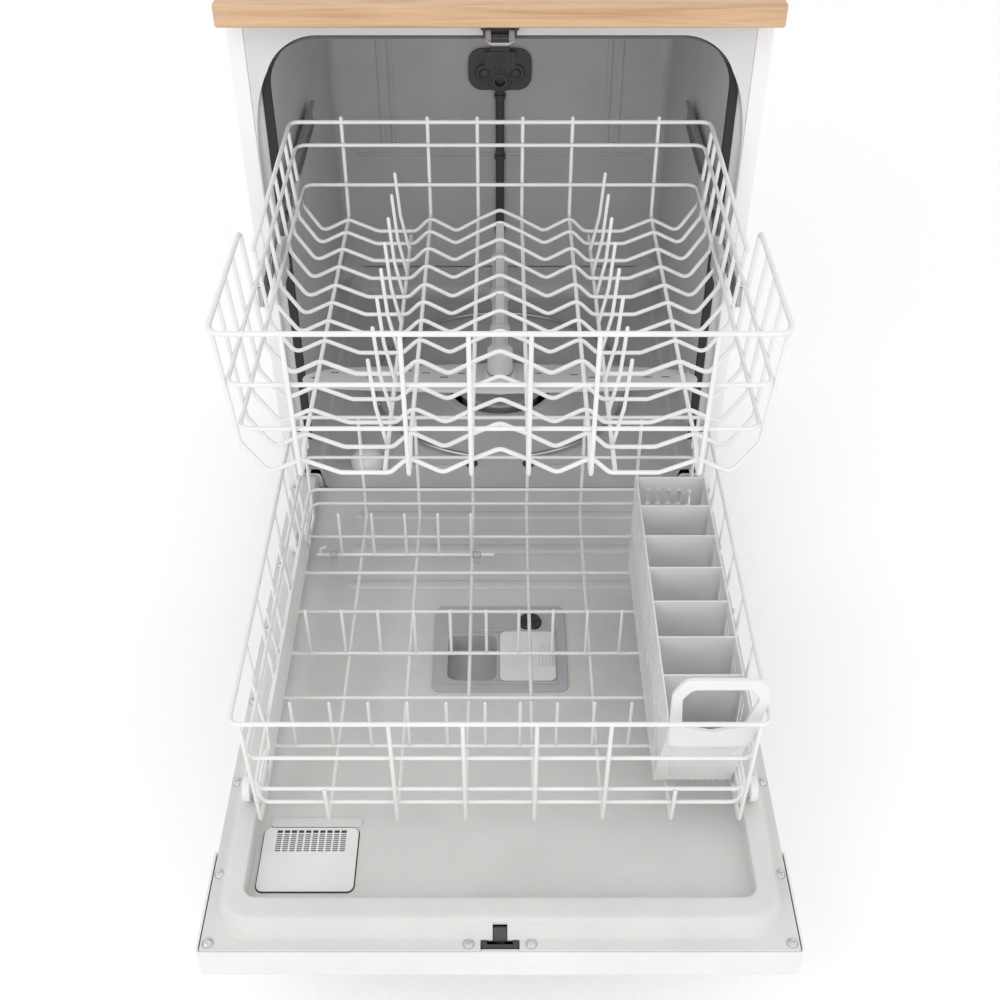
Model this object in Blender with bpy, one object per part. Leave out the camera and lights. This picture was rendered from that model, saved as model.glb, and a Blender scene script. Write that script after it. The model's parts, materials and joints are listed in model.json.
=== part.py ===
"""A dishwasher with its door down and both racks drawn out, as an assembly of separate pieces.

Sizes are in millimetres and are turned into Blender's metres when a piece is made. +Z is up, the machine
opens towards -Y, and the origin is on the floor at the middle of the whole footprint, door included.
"""

import math

import bpy
import bmesh
from mathutils import Matrix, Vector

MM = 0.001
GAP = 0.3

# Cabinet
HALF_WIDTH = 305.0
TOP_Z = 900.0
TOP_THICK = 25.0
TOP_FRONT_Y = 5.0
BACK_Y = 675.0
FRAME_Y = 55.0
FRAME_HALF = 285.0
SKIN_BACK_Y = 652.0
SKIN_Z = 100.0
UNDER_TOP = TOP_Z - TOP_THICK - GAP
FOOT_Y = (110.0, 620.0)
FOOT_X = 262.0

# Tub
TUB_HALF = 268.0
TUB_TOP = 850.0
TUB_CORNER = 65.0
CORNER_STEPS = 5
TUB_FLOOR = 190.0
LEDGE_Z = 226.0
LEDGE_HALF = 281.0
TUB_WALL = 2.5
TUB_REAR = 615.0
SUMP_Y = 335.0
SUMP_R = 84.0
GASKET = 3.0

# Door, lying open
HINGE = Vector((0.0, 10.5, 182.5))
DOOR_FRONT = -675.0
DOOR_REAR = 50.0
DOOR_UNDER = 152.0
DOOR_TOP = 204.6
DOOR_HALF = 299.7
CONSOLE_HALF = 303.0
CONSOLE_REAR = -560.0
LINER_THICK = 3.0
RIM_TOP = LEDGE_Z

# Racks
WIRE = 4.4
CROSS = WIRE - 0.4
LOWER_TRAVEL = 641.0
UPPER_TRAVEL = 515.0
WHEEL_R = 13.7
ROLLER_R = 11.0
TRACK_Z = (632.0, 660.0)
TRACK_X = (255.7, 262.2)

MATERIALS = {
    "wood": ((0.72, 0.49, 0.27), 0.45, 0.0),
    "white_enamel": ((0.86, 0.86, 0.86), 0.25, 0.0),
    "steel": ((0.55, 0.55, 0.56), 0.35, 1.0),
    "grey_plastic": ((0.25, 0.25, 0.26), 0.45, 0.0),
    "pale_plastic": ((0.66, 0.67, 0.67), 0.4, 0.0),
    "liner_plastic": ((0.62, 0.62, 0.61), 0.4, 0.0),
    "dark_plastic": ((0.06, 0.06, 0.065), 0.5, 0.0),
    "white_nylon": ((0.82, 0.82, 0.81), 0.4, 0.0),
    "white_plastic": ((0.83, 0.83, 0.83), 0.35, 0.0),
    "rubber": ((0.015, 0.015, 0.015), 0.7, 0.0),
    "cast_iron": ((0.09, 0.09, 0.09), 0.6, 0.6),
}


def clear_scene():
    for obj in list(bpy.data.objects):
        bpy.data.objects.remove(obj)


def material(name):
    """The named finish, made the first time that it is asked for."""
    found = bpy.data.materials.get(name)
    if found:
        return found
    colour, roughness, metallic = MATERIALS[name]
    made = bpy.data.materials.new(name)
    made.use_nodes = True
    shader = made.node_tree.nodes["Principled BSDF"]
    shader.inputs["Base Color"].default_value = (*colour, 1.0)
    shader.inputs["Roughness"].default_value = roughness
    shader.inputs["Metallic"].default_value = metallic
    return made


# ---------------------------------------------------------------- outlines


def arc(centre, radius, start, end, steps):
    """Points on an arc, both ends included; angles in degrees."""
    return [
        (
            centre[0] + radius * math.cos(math.radians(start + (end - start) * i / steps)),
            centre[1] + radius * math.sin(math.radians(start + (end - start) * i / steps)),
        )
        for i in range(steps + 1)
    ]


def rounded_box(x0, x1, y0, y1, radius, steps=3):
    """A rectangle with four equal round corners, anticlockwise."""
    points = []
    for cx, cy, start in (
        (x1 - radius, y1 - radius, 0),
        (x0 + radius, y1 - radius, 90),
        (x0 + radius, y0 + radius, 180),
        (x1 - radius, y0 + radius, 270),
    ):
        points += arc((cx, cy), radius, start, start + 90, steps)
    return points


def tub_section(grow):
    """The tub's inside outline across X and Z, moved outwards by grow, with the lower rack's wheel ledges."""
    right = [
        (252 + grow, TUB_FLOOR - grow),
        (256 + grow, LEDGE_Z - grow),
        (LEDGE_HALF + grow, LEDGE_Z - grow),
        (LEDGE_HALF + grow, 264 + grow),
        (TUB_HALF + grow, 272 + grow),
    ]
    corner = (TUB_HALF - TUB_CORNER, TUB_TOP - TUB_CORNER)
    right += arc(corner, TUB_CORNER + grow, 0, 90, CORNER_STEPS)
    return right + [(-x, z) for x, z in reversed(right)]


# ---------------------------------------------------------------- solids in a bmesh


def add_rings(bm, rings, closed=False):
    """Joins rings of equal length with quads, and caps the ends unless the rings close on each other."""
    made = [[bm.verts.new(p) for p in ring] for ring in rings]
    count = len(rings[0])
    pairs = list(zip(made, made[1:]))
    if closed:
        pairs.append((made[-1], made[0]))
    for low, high in pairs:
        for i in range(count):
            j = (i + 1) % count
            bm.faces.new((low[i], low[j], high[j], high[i]))
    if not closed:
        bm.faces.new(list(reversed(made[0])))
        bm.faces.new(made[-1])
    return bm


def add_box(bm, x, y, z):
    """A block between the two limits on each axis."""
    low = [(x[0], y[0]), (x[1], y[0]), (x[1], y[1]), (x[0], y[1])]
    return add_rings(bm, [[(px, py, level) for px, py in low] for level in z])


def along(axis, outline, place):
    """Outline points lifted to 3D at one place on the axis."""
    if axis == "x":
        return [(place, a, b) for a, b in outline]
    if axis == "y":
        return [(a, place, b) for a, b in outline]
    return [(a, b, place) for a, b in outline]


def add_prism(bm, axis, outline, start, end):
    return add_rings(bm, [along(axis, outline, start), along(axis, outline, end)])


def add_turned(bm, profile, centre, axis="z", steps=16, ring=False):
    """Turns (radius, place) points about an axis; a ring's profile closes on itself away from the axis."""
    rings = []
    for radius, place in profile:
        circle = arc((0, 0), max(radius, 0.001), 0, 360, steps)[:-1]
        lifted = along(axis, circle, place)
        rings.append([Vector(p) + Vector(centre) for p in lifted])
    return add_rings(bm, rings, closed=ring)


def unit(a, b):
    return (b - a).normalized()


def add_wire(bm, route, size=WIRE, sides=4, closed=False):
    """A bar swept along a route with mitred corners. Four sides give a square bar of that size."""
    points = [Vector(p) for p in route]
    count = len(points)
    ways = [unit(points[i], points[(i + 1) % count]) for i in range(count if closed else count - 1)]
    first = ways[0]
    helper = Vector((0, 0, 1)) if abs(first.z) < 0.9 else Vector((0, 1, 0))
    across = first.cross(helper).normalized()
    upward = across.cross(first)
    reach = size / math.sqrt(2) if sides == 4 else size / 2
    turn = 45 if sides == 4 else 0
    section = [
        across * (reach * math.cos(math.radians(turn + 360 * k / sides)))
        + upward * (reach * math.sin(math.radians(turn + 360 * k / sides)))
        for k in range(sides)
    ]

    def onto(ring, way, centre, normal):
        return [p + way * ((centre - p).dot(normal) / way.dot(normal)) for p in ring]

    start = points[0] + first
    ring = [start + s for s in section]
    normal = (ways[-1] + first).normalized() if closed else first
    rings = [onto(ring, first, points[0], normal)]
    for i in range(1, count):
        way = ways[i - 1]
        last = not closed and i == count - 1
        normal = way if last else (way + ways[i]).normalized()
        rings.append(onto(rings[-1], way, points[i], normal))
    return add_rings(bm, rings, closed=closed)


# ---------------------------------------------------------------- objects


def piece(name, bm, finish, origin=(0, 0, 0), smooth=False):
    """A named object from a bmesh in millimetres, with its origin at the point given."""
    bmesh.ops.recalc_face_normals(bm, faces=bm.faces)
    bm.transform(Matrix.Scale(MM, 4) @ Matrix.Translation(-Vector(origin)))
    mesh = bpy.data.meshes.new(name)
    bm.to_mesh(mesh)
    bm.free()
    if smooth:
        mesh.shade_smooth()
        mesh.set_sharp_from_angle(angle=math.radians(35))
    if finish:
        mesh.materials.append(material(finish))
    obj = bpy.data.objects.new(name, mesh)
    obj.location = Vector(origin) * MM
    bpy.context.scene.collection.objects.link(obj)
    return obj


def helper_piece(name, bm):
    obj = piece(name, bm, None)
    obj.hide_render = True
    obj.display_type = "WIRE"
    return obj


def boolean(obj, bm, operation, self_join=False):
    """Cuts the bmesh's solids from the object, or joins them to it."""
    other = helper_piece(f"{obj.name}-{operation.lower()}-{len(obj.modifiers)}", bm)
    modifier = obj.modifiers.new(operation.lower(), "BOOLEAN")
    modifier.operation = operation
    modifier.solver = "EXACT"
    modifier.object = other
    modifier.use_self = self_join
    return obj


def cut(obj, bm):
    return boolean(obj, bm, "DIFFERENCE")


def join(obj, bm, self_join=False):
    return boolean(obj, bm, "UNION", self_join)


def block(name, x, y, z, finish, origin=(0, 0, 0)):
    return piece(name, add_box(bmesh.new(), x, y, z), finish, origin)


def soften(obj, width, segments=2):
    modifier = obj.modifiers.new("bevel", "BEVEL")
    modifier.width = width * MM
    modifier.segments = segments
    modifier.limit_method = "ANGLE"
    return obj


SIDES = (("left", -1), ("right", 1))


def span(side, near, far):
    """X limits of something between two distances from the middle, on one side."""
    return tuple(sorted((side * near, side * far)))


# ---------------------------------------------------------------- cabinet


def build_worktop():
    top = block(
        "worktop", (-HALF_WIDTH, HALF_WIDTH), (TOP_FRONT_Y, BACK_Y), (TOP_Z - TOP_THICK, TOP_Z), "wood"
    )
    soften(top, 3)


def build_skins():
    """Side panels with a front flange beside the tub frame, and the back panel between them."""
    for label, side in SIDES:
        outline = [
            (side * (FRAME_HALF + GAP), FRAME_Y),
            (side * (HALF_WIDTH - 1), FRAME_Y),
            (side * (HALF_WIDTH - 1), SKIN_BACK_Y),
            (side * (HALF_WIDTH - 2.5), SKIN_BACK_Y),
            (side * (HALF_WIDTH - 2.5), FRAME_Y + 1.5),
            (side * (FRAME_HALF + GAP), FRAME_Y + 1.5),
        ]
        panel = add_prism(bmesh.new(), "z", outline, SKIN_Z, UNDER_TOP)
        piece(f"side_panel_{label}", panel, "white_enamel")
    inside = HALF_WIDTH - 2.5 - GAP
    block("back_panel", (-inside, inside), (650, 651.5), (SKIN_Z, UNDER_TOP), "steel")


def build_base():
    """The tray under the tub, its four levelling legs and the kick plate in front."""
    inside = HALF_WIDTH - 2.5 - GAP
    tray = block("base_pan", (-inside, inside), (96, 649.5), (58, SKIN_Z - GAP), "steel")
    cut(tray, add_box(bmesh.new(), (-inside + 2, inside - 2), (98, 647.5), (60, 120)))
    block("toe_kick", (-HALF_WIDTH + 5, HALF_WIDTH - 5), (93, 95.5), (12, 140), "white_enamel")
    for row, y in zip(("front", "rear"), FOOT_Y):
        for label, side in SIDES:
            leg = bmesh.new()
            profile = [(0, 0), (19, 0), (19, 7), (7, 14), (5, 14), (5, 58 - GAP), (0, 58 - GAP)]
            add_turned(leg, profile, (side * FOOT_X, y, 0), steps=10)
            piece(f"levelling_leg_{row}_{label}", leg, "dark_plastic", smooth=True)


def build_tub():
    tub = piece(
        "tub",
        add_prism(bmesh.new(), "y", tub_section(TUB_WALL), FRAME_Y + 2 + GAP, TUB_REAR + TUB_WALL),
        "grey_plastic",
    )
    cut(tub, add_prism(bmesh.new(), "y", tub_section(0), FRAME_Y - 10, TUB_REAR))
    drain = add_turned(bmesh.new(), [(SUMP_R, 150), (SUMP_R, 230)], (0, SUMP_Y, 0), steps=24)
    add_turned(drain, [(5.5, 150), (5.5, 230)], (FLOAT_AT[0], FLOAT_AT[1], 0), steps=8)
    cut(tub, drain)


def build_front_frame():
    """The frame round the tub's mouth, with the two lugs and pins that carry the door."""
    frame = block(
        "front_frame", (-FRAME_HALF, FRAME_HALF), (FRAME_Y, FRAME_Y + 2), (150, UNDER_TOP), "pale_plastic"
    )
    cut(frame, add_prism(bmesh.new(), "y", tub_section(0), FRAME_Y - 10, FRAME_Y + 10))
    for _, side in SIDES:
        lug = bmesh.new()
        outline = [(54.7, 160), (54.7, 200), (25, 200), (0, 190), (0, 172), (25, 160)]
        add_prism(lug, "x", outline, side * 288, side * 292.5)
        join(frame, lug)
        foot = add_box(bmesh.new(), span(side, 272, 290), (51, 54.6), (162, 198))
        join(frame, foot)
        stud = add_box(bmesh.new(), span(side, 274, 283), (52, 56.5), (166, 186))
        join(frame, stud)
        pin = add_turned(
            bmesh.new(), [(4, side * 289), (4, side * 297.3)], (0, HINGE.y, HINGE.z), "x", steps=12
        )
        join(frame, pin)


def build_gasket():
    """A strip of rubber up one side of the mouth, over the top and down the other."""
    foot_z = 280
    outer = TUB_HALF - GAP
    inner = outer - GASKET
    corner = (TUB_HALF - TUB_CORNER, TUB_TOP - TUB_CORNER)
    outer_r = TUB_CORNER - GAP
    right = arc(corner, outer_r, 0, 90, CORNER_STEPS)
    left = [(-x, z) for x, z in reversed(right)]
    right_in = arc(corner, outer_r - GASKET, 0, 90, CORNER_STEPS)
    left_in = [(-x, z) for x, z in reversed(right_in)]
    outline = [(outer, foot_z)] + right + left + [(-outer, foot_z), (-inner, foot_z)]
    outline += list(reversed(left_in)) + list(reversed(right_in)) + [(inner, foot_z)]
    piece("door_gasket", add_prism(bmesh.new(), "y", outline, 59, 72), "rubber")


def build_striker():
    bracket = block("striker_bracket", (-19, 19), (47, FRAME_Y - GAP), (851, 871), "dark_plastic")
    cut(bracket, add_box(bmesh.new(), (-16.5, 16.5), (40, 52), (854, 862)))
    loop = bmesh.new()
    route = [(-13, 51.4, 858), (-13, 45, 858), (-13, 33, 848)]
    route += [(-x, y, z) for x, y, z in reversed(route)]
    add_wire(loop, route, 4, sides=6)
    piece("striker_loop", loop, "steel", smooth=True)


def build_water_supply():
    """The pipe up the tub's rear wall and the manifold that feeds the upper rack."""
    centre = (0, 0, FEED_Z)
    body = rounded_box(-50, 50, MANIFOLD_Z[0], MANIFOLD_Z[1], 14)
    manifold = piece("water_inlet_manifold", add_prism(bmesh.new(), "y", body, 604, 614.6), "dark_plastic")
    join(manifold, add_box(bmesh.new(), (-8, 8), (606, 614.2), (625, 840)))
    knobs = bmesh.new()
    for side in (-1, 1):
        add_turned(knobs, [(8.7, 600.6), (8.7, 608)], (side * 24.6, 0, 594), "y", steps=14)
    join(manifold, knobs)
    join(manifold, add_turned(bmesh.new(), [(14, 600), (14, 609)], centre, "y", steps=16))
    cut(manifold, add_turned(bmesh.new(), [(8, 590), (8, 611)], centre, "y", steps=12))
    pipe = add_turned(bmesh.new(), [(7, TUB_FLOOR + GAP), (7, MANIFOLD_Z[0] - GAP)], (0, 607, 0), steps=10)
    piece("supply_pipe", pipe, "dark_plastic", smooth=True)


def build_wash_system():
    """Sump with its central post, filter ring, motor, drain pump and heating element."""
    under = TUB_FLOOR - TUB_WALL - GAP
    sump = bmesh.new()
    profile = [(0, 116), (90, 116), (90, 180), (110, 180), (110, under), (80, under), (80, 122)]
    profile += [(12, 122), (12, 203), (9, 203), (9, 218), (0, 218)]
    add_turned(sump, profile, (0, SUMP_Y, 0), steps=24)
    piece("sump", sump, "dark_plastic", smooth=True)

    filter_ring = bmesh.new()
    profile = [(20, 140), (62, 140), (62, 192), (74, 192), (74, 197), (20, 197)]
    add_turned(filter_ring, profile, (0, SUMP_Y, 0), steps=24, ring=True)
    lifter = piece("filter", filter_ring, "pale_plastic", (0, SUMP_Y, 140), smooth=True)
    join(lifter, add_box(bmesh.new(), (40, 68), (SUMP_Y - 2, SUMP_Y + 2), (195, 201)))

    motor = bmesh.new()
    profile = [(0, 96), (30, 96), (30, 104), (47, 104), (47, 190), (38, 190), (38, 206), (0, 206)]
    add_turned(motor, profile, (0, SUMP_Y, 130), "x", steps=16)
    piece("wash_motor", motor, "cast_iron", smooth=True)

    pump = bmesh.new()
    profile = [(0, -176), (24, -176), (24, -128), (32, -128), (32, -100), (18, -100), (18, -93), (0, -93)]
    add_turned(pump, profile, (0, SUMP_Y, 130), "x", steps=14)
    piece("drain_pump", pump, "dark_plastic", smooth=True)

    loop = [(HEATER_R * math.sin(t), SUMP_Y - HEATER_R * math.cos(t), 197) for t in heater_turns()]
    route = [(loop[0][0], loop[0][1], TUB_FLOOR + GAP)] + loop
    route += [(loop[-1][0], loop[-1][1], TUB_FLOOR + GAP)]
    element = add_wire(bmesh.new(), route, 7, sides=6)
    piece("heating_element", element, "steel", smooth=True)

    float_bm = bmesh.new()
    profile = [(0, 150), (4, 150), (4, 194), (24, 194), (24, 206), (15, 217), (0, 219)]
    add_turned(float_bm, profile, (FLOAT_AT[0], FLOAT_AT[1], 0), steps=16)
    piece("overfill_float", float_bm, "white_plastic", (*FLOAT_AT, 194), smooth=True)


def heater_turns(steps=20):
    """Angles round the heating element's loop, which leaves a gap at the front for its two ends."""
    return [math.radians(12 + 336 * i / steps) for i in range(steps + 1)]


def spray_arm(name, centre, thick, reach, hub_r, bore_r):
    """A flat two-ended arm with a hub, turning about Z at the centre."""
    x, y, z = centre
    outline = arc((reach - 22, 0), 22, -90, 90, 6) + [(60, 30), (-60, 30)]
    outline += arc((-reach + 22, 0), 22, 90, 270, 6) + [(-60, -30), (60, -30)]
    points = [(x + a, y + b) for a, b in outline]
    arm = piece(name, add_prism(bmesh.new(), "z", points, z, z + thick), "pale_plastic", centre)
    hub = add_turned(bmesh.new(), [(hub_r, z - 2), (hub_r, z + thick + 2)], (x, y, 0), steps=16)
    join(arm, hub)
    cut(arm, add_turned(bmesh.new(), [(bore_r, z - 20), (bore_r, z + 40)], (x, y, 0), steps=16))


def build_springs():
    for label, side in SIDES:
        spring = bmesh.new()
        profile = [(0, 180), (3, 180), (3, 195), (8, 195), (8, 330), (3, 330), (3, 350), (0, 350)]
        add_turned(spring, profile, (side * 284, 0, 84), "y", steps=10)
        piece(f"door_spring_{label}", spring, "steel", smooth=True)


# ---------------------------------------------------------------- door


def build_door_panel():
    tray = block(
        "door_panel",
        (-DOOR_HALF, DOOR_HALF),
        (CONSOLE_REAR, DOOR_REAR),
        (DOOR_UNDER, DOOR_TOP - GAP),
        "white_enamel",
    )
    inner = DOOR_HALF - 1.2
    hollow = (CONSOLE_REAR + 1.5, DOOR_REAR + 5)
    cut(tray, add_box(bmesh.new(), (-inner, inner), hollow, (DOOR_UNDER + 1.2, 230)))
    seat = DOOR_TOP - LINER_THICK - GAP
    cut(tray, add_box(bmesh.new(), (-inner, inner), (CONSOLE_REAR - 5, CONSOLE_REAR + 5), (seat, 240)))


def build_console():
    """The moulded control end of the door, with a finger pocket, a dial and three keys on its outer face."""
    front, rear = DOOR_FRONT, CONSOLE_REAR - GAP
    outline = arc((front + 6, DOOR_TOP - 6), 6, 90, 180, 3) + arc((front + 9, DOOR_UNDER + 9), 9, 180, 270, 3)
    outline += [(rear, DOOR_UNDER), (rear, DOOR_TOP)]
    shell = piece(
        "console", add_prism(bmesh.new(), "x", outline, -CONSOLE_HALF, CONSOLE_HALF), "white_plastic"
    )
    inner = CONSOLE_HALF - 2.1
    cut(shell, add_box(bmesh.new(), (-inner, inner), (front + 3.5, rear - 3), (DOOR_UNDER + 3, 230)))
    seat = DOOR_TOP - LINER_THICK - GAP
    cut(shell, add_box(bmesh.new(), (-inner, inner), (front + 3.5, rear + 9), (seat, 240)))
    join(shell, add_box(bmesh.new(), (-84, 84), (-600, rear - 1), (DOOR_UNDER + 1, DOOR_UNDER + 22)))
    cut(shell, add_box(bmesh.new(), (-80, 80), (-596, rear - 6), (DOOR_UNDER - 5, DOOR_UNDER + 19)))
    holes = add_turned(bmesh.new(), [(5.4, 140), (5.4, 170)], (DIAL_AT[0], DIAL_AT[1], 0), steps=10)
    for x in KEY_X:
        add_box(holes, (x - 11.5, x + 11.5), (KEY_Y - 6, KEY_Y + 6), (140, 170))
    cut(shell, holes)

    dial = bmesh.new()
    profile = [(0, 134), (22, 134), (25, 137), (25, 148), (27, 151.6), (5, 151.6), (5, 168), (0, 168)]
    add_turned(dial, profile, (*DIAL_AT, 0), steps=20)
    piece("timer_dial", dial, "white_plastic", (*DIAL_AT, 150), smooth=True)
    for number, x in enumerate(KEY_X, 1):
        stem = add_box(bmesh.new(), (x - 11, x + 11), (KEY_Y - 5.5, KEY_Y + 5.5), (148, 162))
        piece(f"cycle_key_{number}", stem, "white_plastic", (x, KEY_Y, 150))


def rim_outline(outer, inner, front_out, front_in, rear, steps=5):
    """The raised rim as a U seen from above: outer edge one way, inner edge back."""
    outer_r, inner_r = 42, 20
    edge = [(outer, rear)]
    edge += arc((outer - outer_r, front_out + outer_r), outer_r, 0, -90, steps)
    edge += arc((-outer + outer_r, front_out + outer_r), outer_r, -90, -180, steps)
    edge += [(-outer, rear), (-inner, rear)]
    edge += arc((-inner + inner_r, front_in + inner_r), inner_r, 180, 270, steps)
    edge += arc((inner - inner_r, front_in + inner_r), inner_r, 270, 360, steps)
    return edge + [(inner, rear)]


def build_door_liner():
    """The inner face of the door: a flat sheet with a hollow raised rim on three sides."""
    low, high = DOOR_TOP - LINER_THICK, DOOR_TOP
    wide, narrow = CONSOLE_HALF - 2.4, DOOR_HALF - 1.5
    front, step = DOOR_FRONT + 3.8, CONSOLE_REAR - 0.6
    outline = [(-wide, front), (wide, front), (wide, step), (narrow, step), (narrow, DOOR_REAR)]
    outline += [(-narrow, DOOR_REAR), (-narrow, step), (-wide, step)]
    liner = piece("door_liner", add_prism(bmesh.new(), "z", outline, low, high), "liner_plastic")
    foot = rim_outline(290, 259, -661, -625, DOOR_REAR - 1)
    crest = rim_outline(284, 264, -650, -627.5, DOOR_REAR - 1)
    join(liner, add_rings(bmesh.new(), [along("z", foot, high - 0.5), along("z", crest, RIM_TOP - GAP)]))
    under = rim_outline(286.5, 262.5, -657.5, -628.5, DOOR_REAR + 5)
    vault = rim_outline(281.5, 266.5, -647.5, -630, DOOR_REAR + 5)
    cut(liner, add_rings(bmesh.new(), [along("z", under, low - 3), along("z", vault, RIM_TOP - 2.8)]))
    holes = add_box(bmesh.new(), (-19.5, 19.5), (DOOR_FRONT - 5, -663.5), (190, 230))
    add_box(holes, (-74.6, 74.6), (-329.6, -200.4), (190, 230))
    cut(liner, holes)


def build_latch():
    top = DOOR_TOP + 0.3
    housing = block("latch_housing", (-19, 19), (-670.8, -663.9), (180, top), "dark_plastic")
    join(housing, add_box(bmesh.new(), (-19, 19), (-669.5, -653), (178, DOOR_TOP - LINER_THICK - GAP)))
    cut(housing, add_box(bmesh.new(), (-13, 13), (-668.6, -655), (182, 230)))
    pawl = add_turned(bmesh.new(), [(5.2, -4), (5.2, 4)], (0, *PAWL_AT), "x", steps=14)
    pawl_obj = piece("latch_pawl", pawl, "steel", (0, *PAWL_AT), smooth=True)
    notch = add_box(bmesh.new(), (-6, 6), (PAWL_AT[0] - 1.5, PAWL_AT[0] + 1.5), (PAWL_AT[1] + 1, 200))
    cut(pawl_obj, notch)


def build_dispenser():
    """Detergent cup with a sliding lid, and the rinse-aid filler beside it."""
    housing = block("dispenser_housing", (-74, 74), (-329, -201), (172, 206), "pale_plastic")
    flange = rounded_box(-82, 82, -337, -193, 8)
    join(housing, add_prism(bmesh.new(), "z", flange, DOOR_TOP + GAP, 207.4))
    cup = add_prism(bmesh.new(), "z", rounded_box(-64, -4, -319, -245, 10), 180, 230)
    add_turned(cup, [(14.5, 195), (14.5, 230)], (*RINSE_AT, 0), steps=16)
    cut(housing, cup)
    lid = add_prism(bmesh.new(), "z", rounded_box(0, 68, -323, -241, 8), 207.8, 210.6)
    lid_obj = piece("dispenser_lid", lid, "pale_plastic", (34, -282, 209))
    join(lid_obj, add_box(bmesh.new(), (58, 62), (-300, -264), (210, 214)))
    cap = add_turned(bmesh.new(), [(14, 195.5), (14, 211)], (*RINSE_AT, 0), steps=16)
    cap_obj = piece("rinse_aid_cap", cap, "dark_plastic", (*RINSE_AT, 209))
    grip = add_box(bmesh.new(), (RINSE_AT[0] - 11, RINSE_AT[0] + 11), (RINSE_AT[1] - 2, RINSE_AT[1] + 2), (210, 215))
    join(cap_obj, grip)


def build_vent():
    plate = rounded_box(-253, -152, -604, -527, 8)
    piece("vent_cover", add_prism(bmesh.new(), "z", plate, DOOR_TOP + GAP, 206.8), "pale_plastic")


def build_hinge_arms():
    for label, side in SIDES:
        outline = [(-90, 170), (-90, 196), (20, 196), (32, 188), (32, 177), (20, 166)]
        arm = add_prism(bmesh.new(), "x", outline, side * 293, side * 296.5)
        made = piece(f"hinge_arm_{label}", arm, "steel", (side * 295, HINGE.y, HINGE.z))
        hole = [(4.3, side * 285), (4.3, side * 300)]
        cut(made, add_turned(bmesh.new(), hole, (0, HINGE.y, HINGE.z), "x", steps=12))


# ---------------------------------------------------------------- racks


def leaning(low, high, z):
    """A wall's place at height z, from its (place, height) at the bottom and at the top."""
    return low[0] + (high[0] - low[0]) * (z - low[1]) / (high[1] - low[1])


def rail_loop(half, front, back, z, corner=9):
    return [(x, y, z) for x, y in rounded_box(-half, half, front, back, corner, 2)]


LOWER_FLOOR = 240.0
LOWER_RIM = 407.0
LOWER_RAILS = (346.0, 292.0, 268.0)
LOWER_BACK = -56.0
LOWER_CROSS_Y = [-450 + 70 * i for i in range(6)]
LOWER_TINE_ROWS = LOWER_CROSS_Y[0:3:2]
LOWER_TINE_X = [-226 + 42 * i for i in range(6)] + [22 + 40 * i for i in range(4)]
FOLD_Y = LOWER_CROSS_Y[4] + 34
FOLD_Z = LOWER_FLOOR + WIRE + 0.6


def lower_half(z):
    return leaning((254, LOWER_FLOOR), (262, LOWER_RIM), z)


def lower_front(z):
    return leaning((-545, LOWER_FLOOR), (-556, LOWER_RIM), z)


def lower_rack_routes():
    """Routes of the lower rack's wires: (points, closed)."""
    routes = [(rail_loop(lower_half(LOWER_RIM), lower_front(LOWER_RIM), LOWER_BACK, LOWER_RIM), True)]
    for z in LOWER_RAILS:
        half, front = lower_half(z) - CROSS, lower_front(z) + CROSS
        routes.append((rail_loop(half, front, LOWER_BACK - CROSS, z), True))
    for i in range(8):
        x = -252 + 72 * i
        top = LOWER_RAILS[1] if i in (1, 6) else LOWER_RIM - 1
        routes.append(
            (
                [
                    (x, lower_front(top), top),
                    (x, lower_front(LOWER_FLOOR), LOWER_FLOOR),
                    (x, LOWER_BACK, LOWER_FLOOR),
                    (x, LOWER_BACK, LOWER_RIM - 1),
                ],
                False,
            )
        )
    floor = LOWER_FLOOR + CROSS
    for y in LOWER_CROSS_Y:
        half, rim = lower_half(floor) + 0.6, lower_half(LOWER_RIM)
        low = [(-rim, y, LOWER_RIM - 1), (-half, y, floor), (half, y, floor), (rim, y, LOWER_RIM - 1)]
        routes.append((low, False))
    return routes


def build_lower_rack():
    routes = lower_rack_routes()
    bm = bmesh.new()
    for points, closed in routes:
        add_wire(bm, points, closed=closed)
    floor = LOWER_FLOOR + CROSS
    for y in LOWER_TINE_ROWS:
        for x in LOWER_TINE_X:
            add_wire(bm, [(x, y, floor - 1), (x, y, floor + 72)], WIRE - 0.5)
    rack = piece("lower_rack", bm, "white_nylon")
    brackets = bmesh.new()
    for y in WHEEL_Y:
        for _, side in SIDES:
            add_box(brackets, span(side, 252.6, 259), (y - 30, y + 30), (231, 271))
            ends = [(3, side * 258), (3, side * 275.5)]
            add_turned(brackets, ends, (0, y, WHEEL_Z), "x", steps=8)
    join(rack, brackets, self_join=True)

    comb = add_wire(bmesh.new(), [(-238, FOLD_Y, FOLD_Z), (-8, FOLD_Y, FOLD_Z)], sides=8)
    for i in range(5):
        x = -205 + 42 * i
        add_wire(comb, [(x, FOLD_Y, FOLD_Z - 1), (x, FOLD_Y, FOLD_Z + 70)], WIRE - 0.5)
    folding = piece("folding_tine_row", comb, "white_nylon", (-123, FOLD_Y, FOLD_Z))
    join(folding, add_box(bmesh.new(), (-236, -230), (FOLD_Y - 1, FOLD_Y + 1), (FOLD_Z, FOLD_Z + 9)), True)

    for place, y in zip(("front", "rear"), WHEEL_Y):
        for label, side in SIDES:
            wheel = bmesh.new()
            rim, bore = WHEEL_R, 3.4
            profile = [(bore, 268), (rim, 268), (rim, 276), (bore, 276)]
            profile = [(r, side * p) for r, p in profile]
            add_turned(wheel, profile, (0, y, WHEEL_Z), "x", steps=14, ring=True)
            piece(f"lower_wheel_{place}_{label}", wheel, "white_plastic", (side * 272, y, WHEEL_Z), True)


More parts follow.
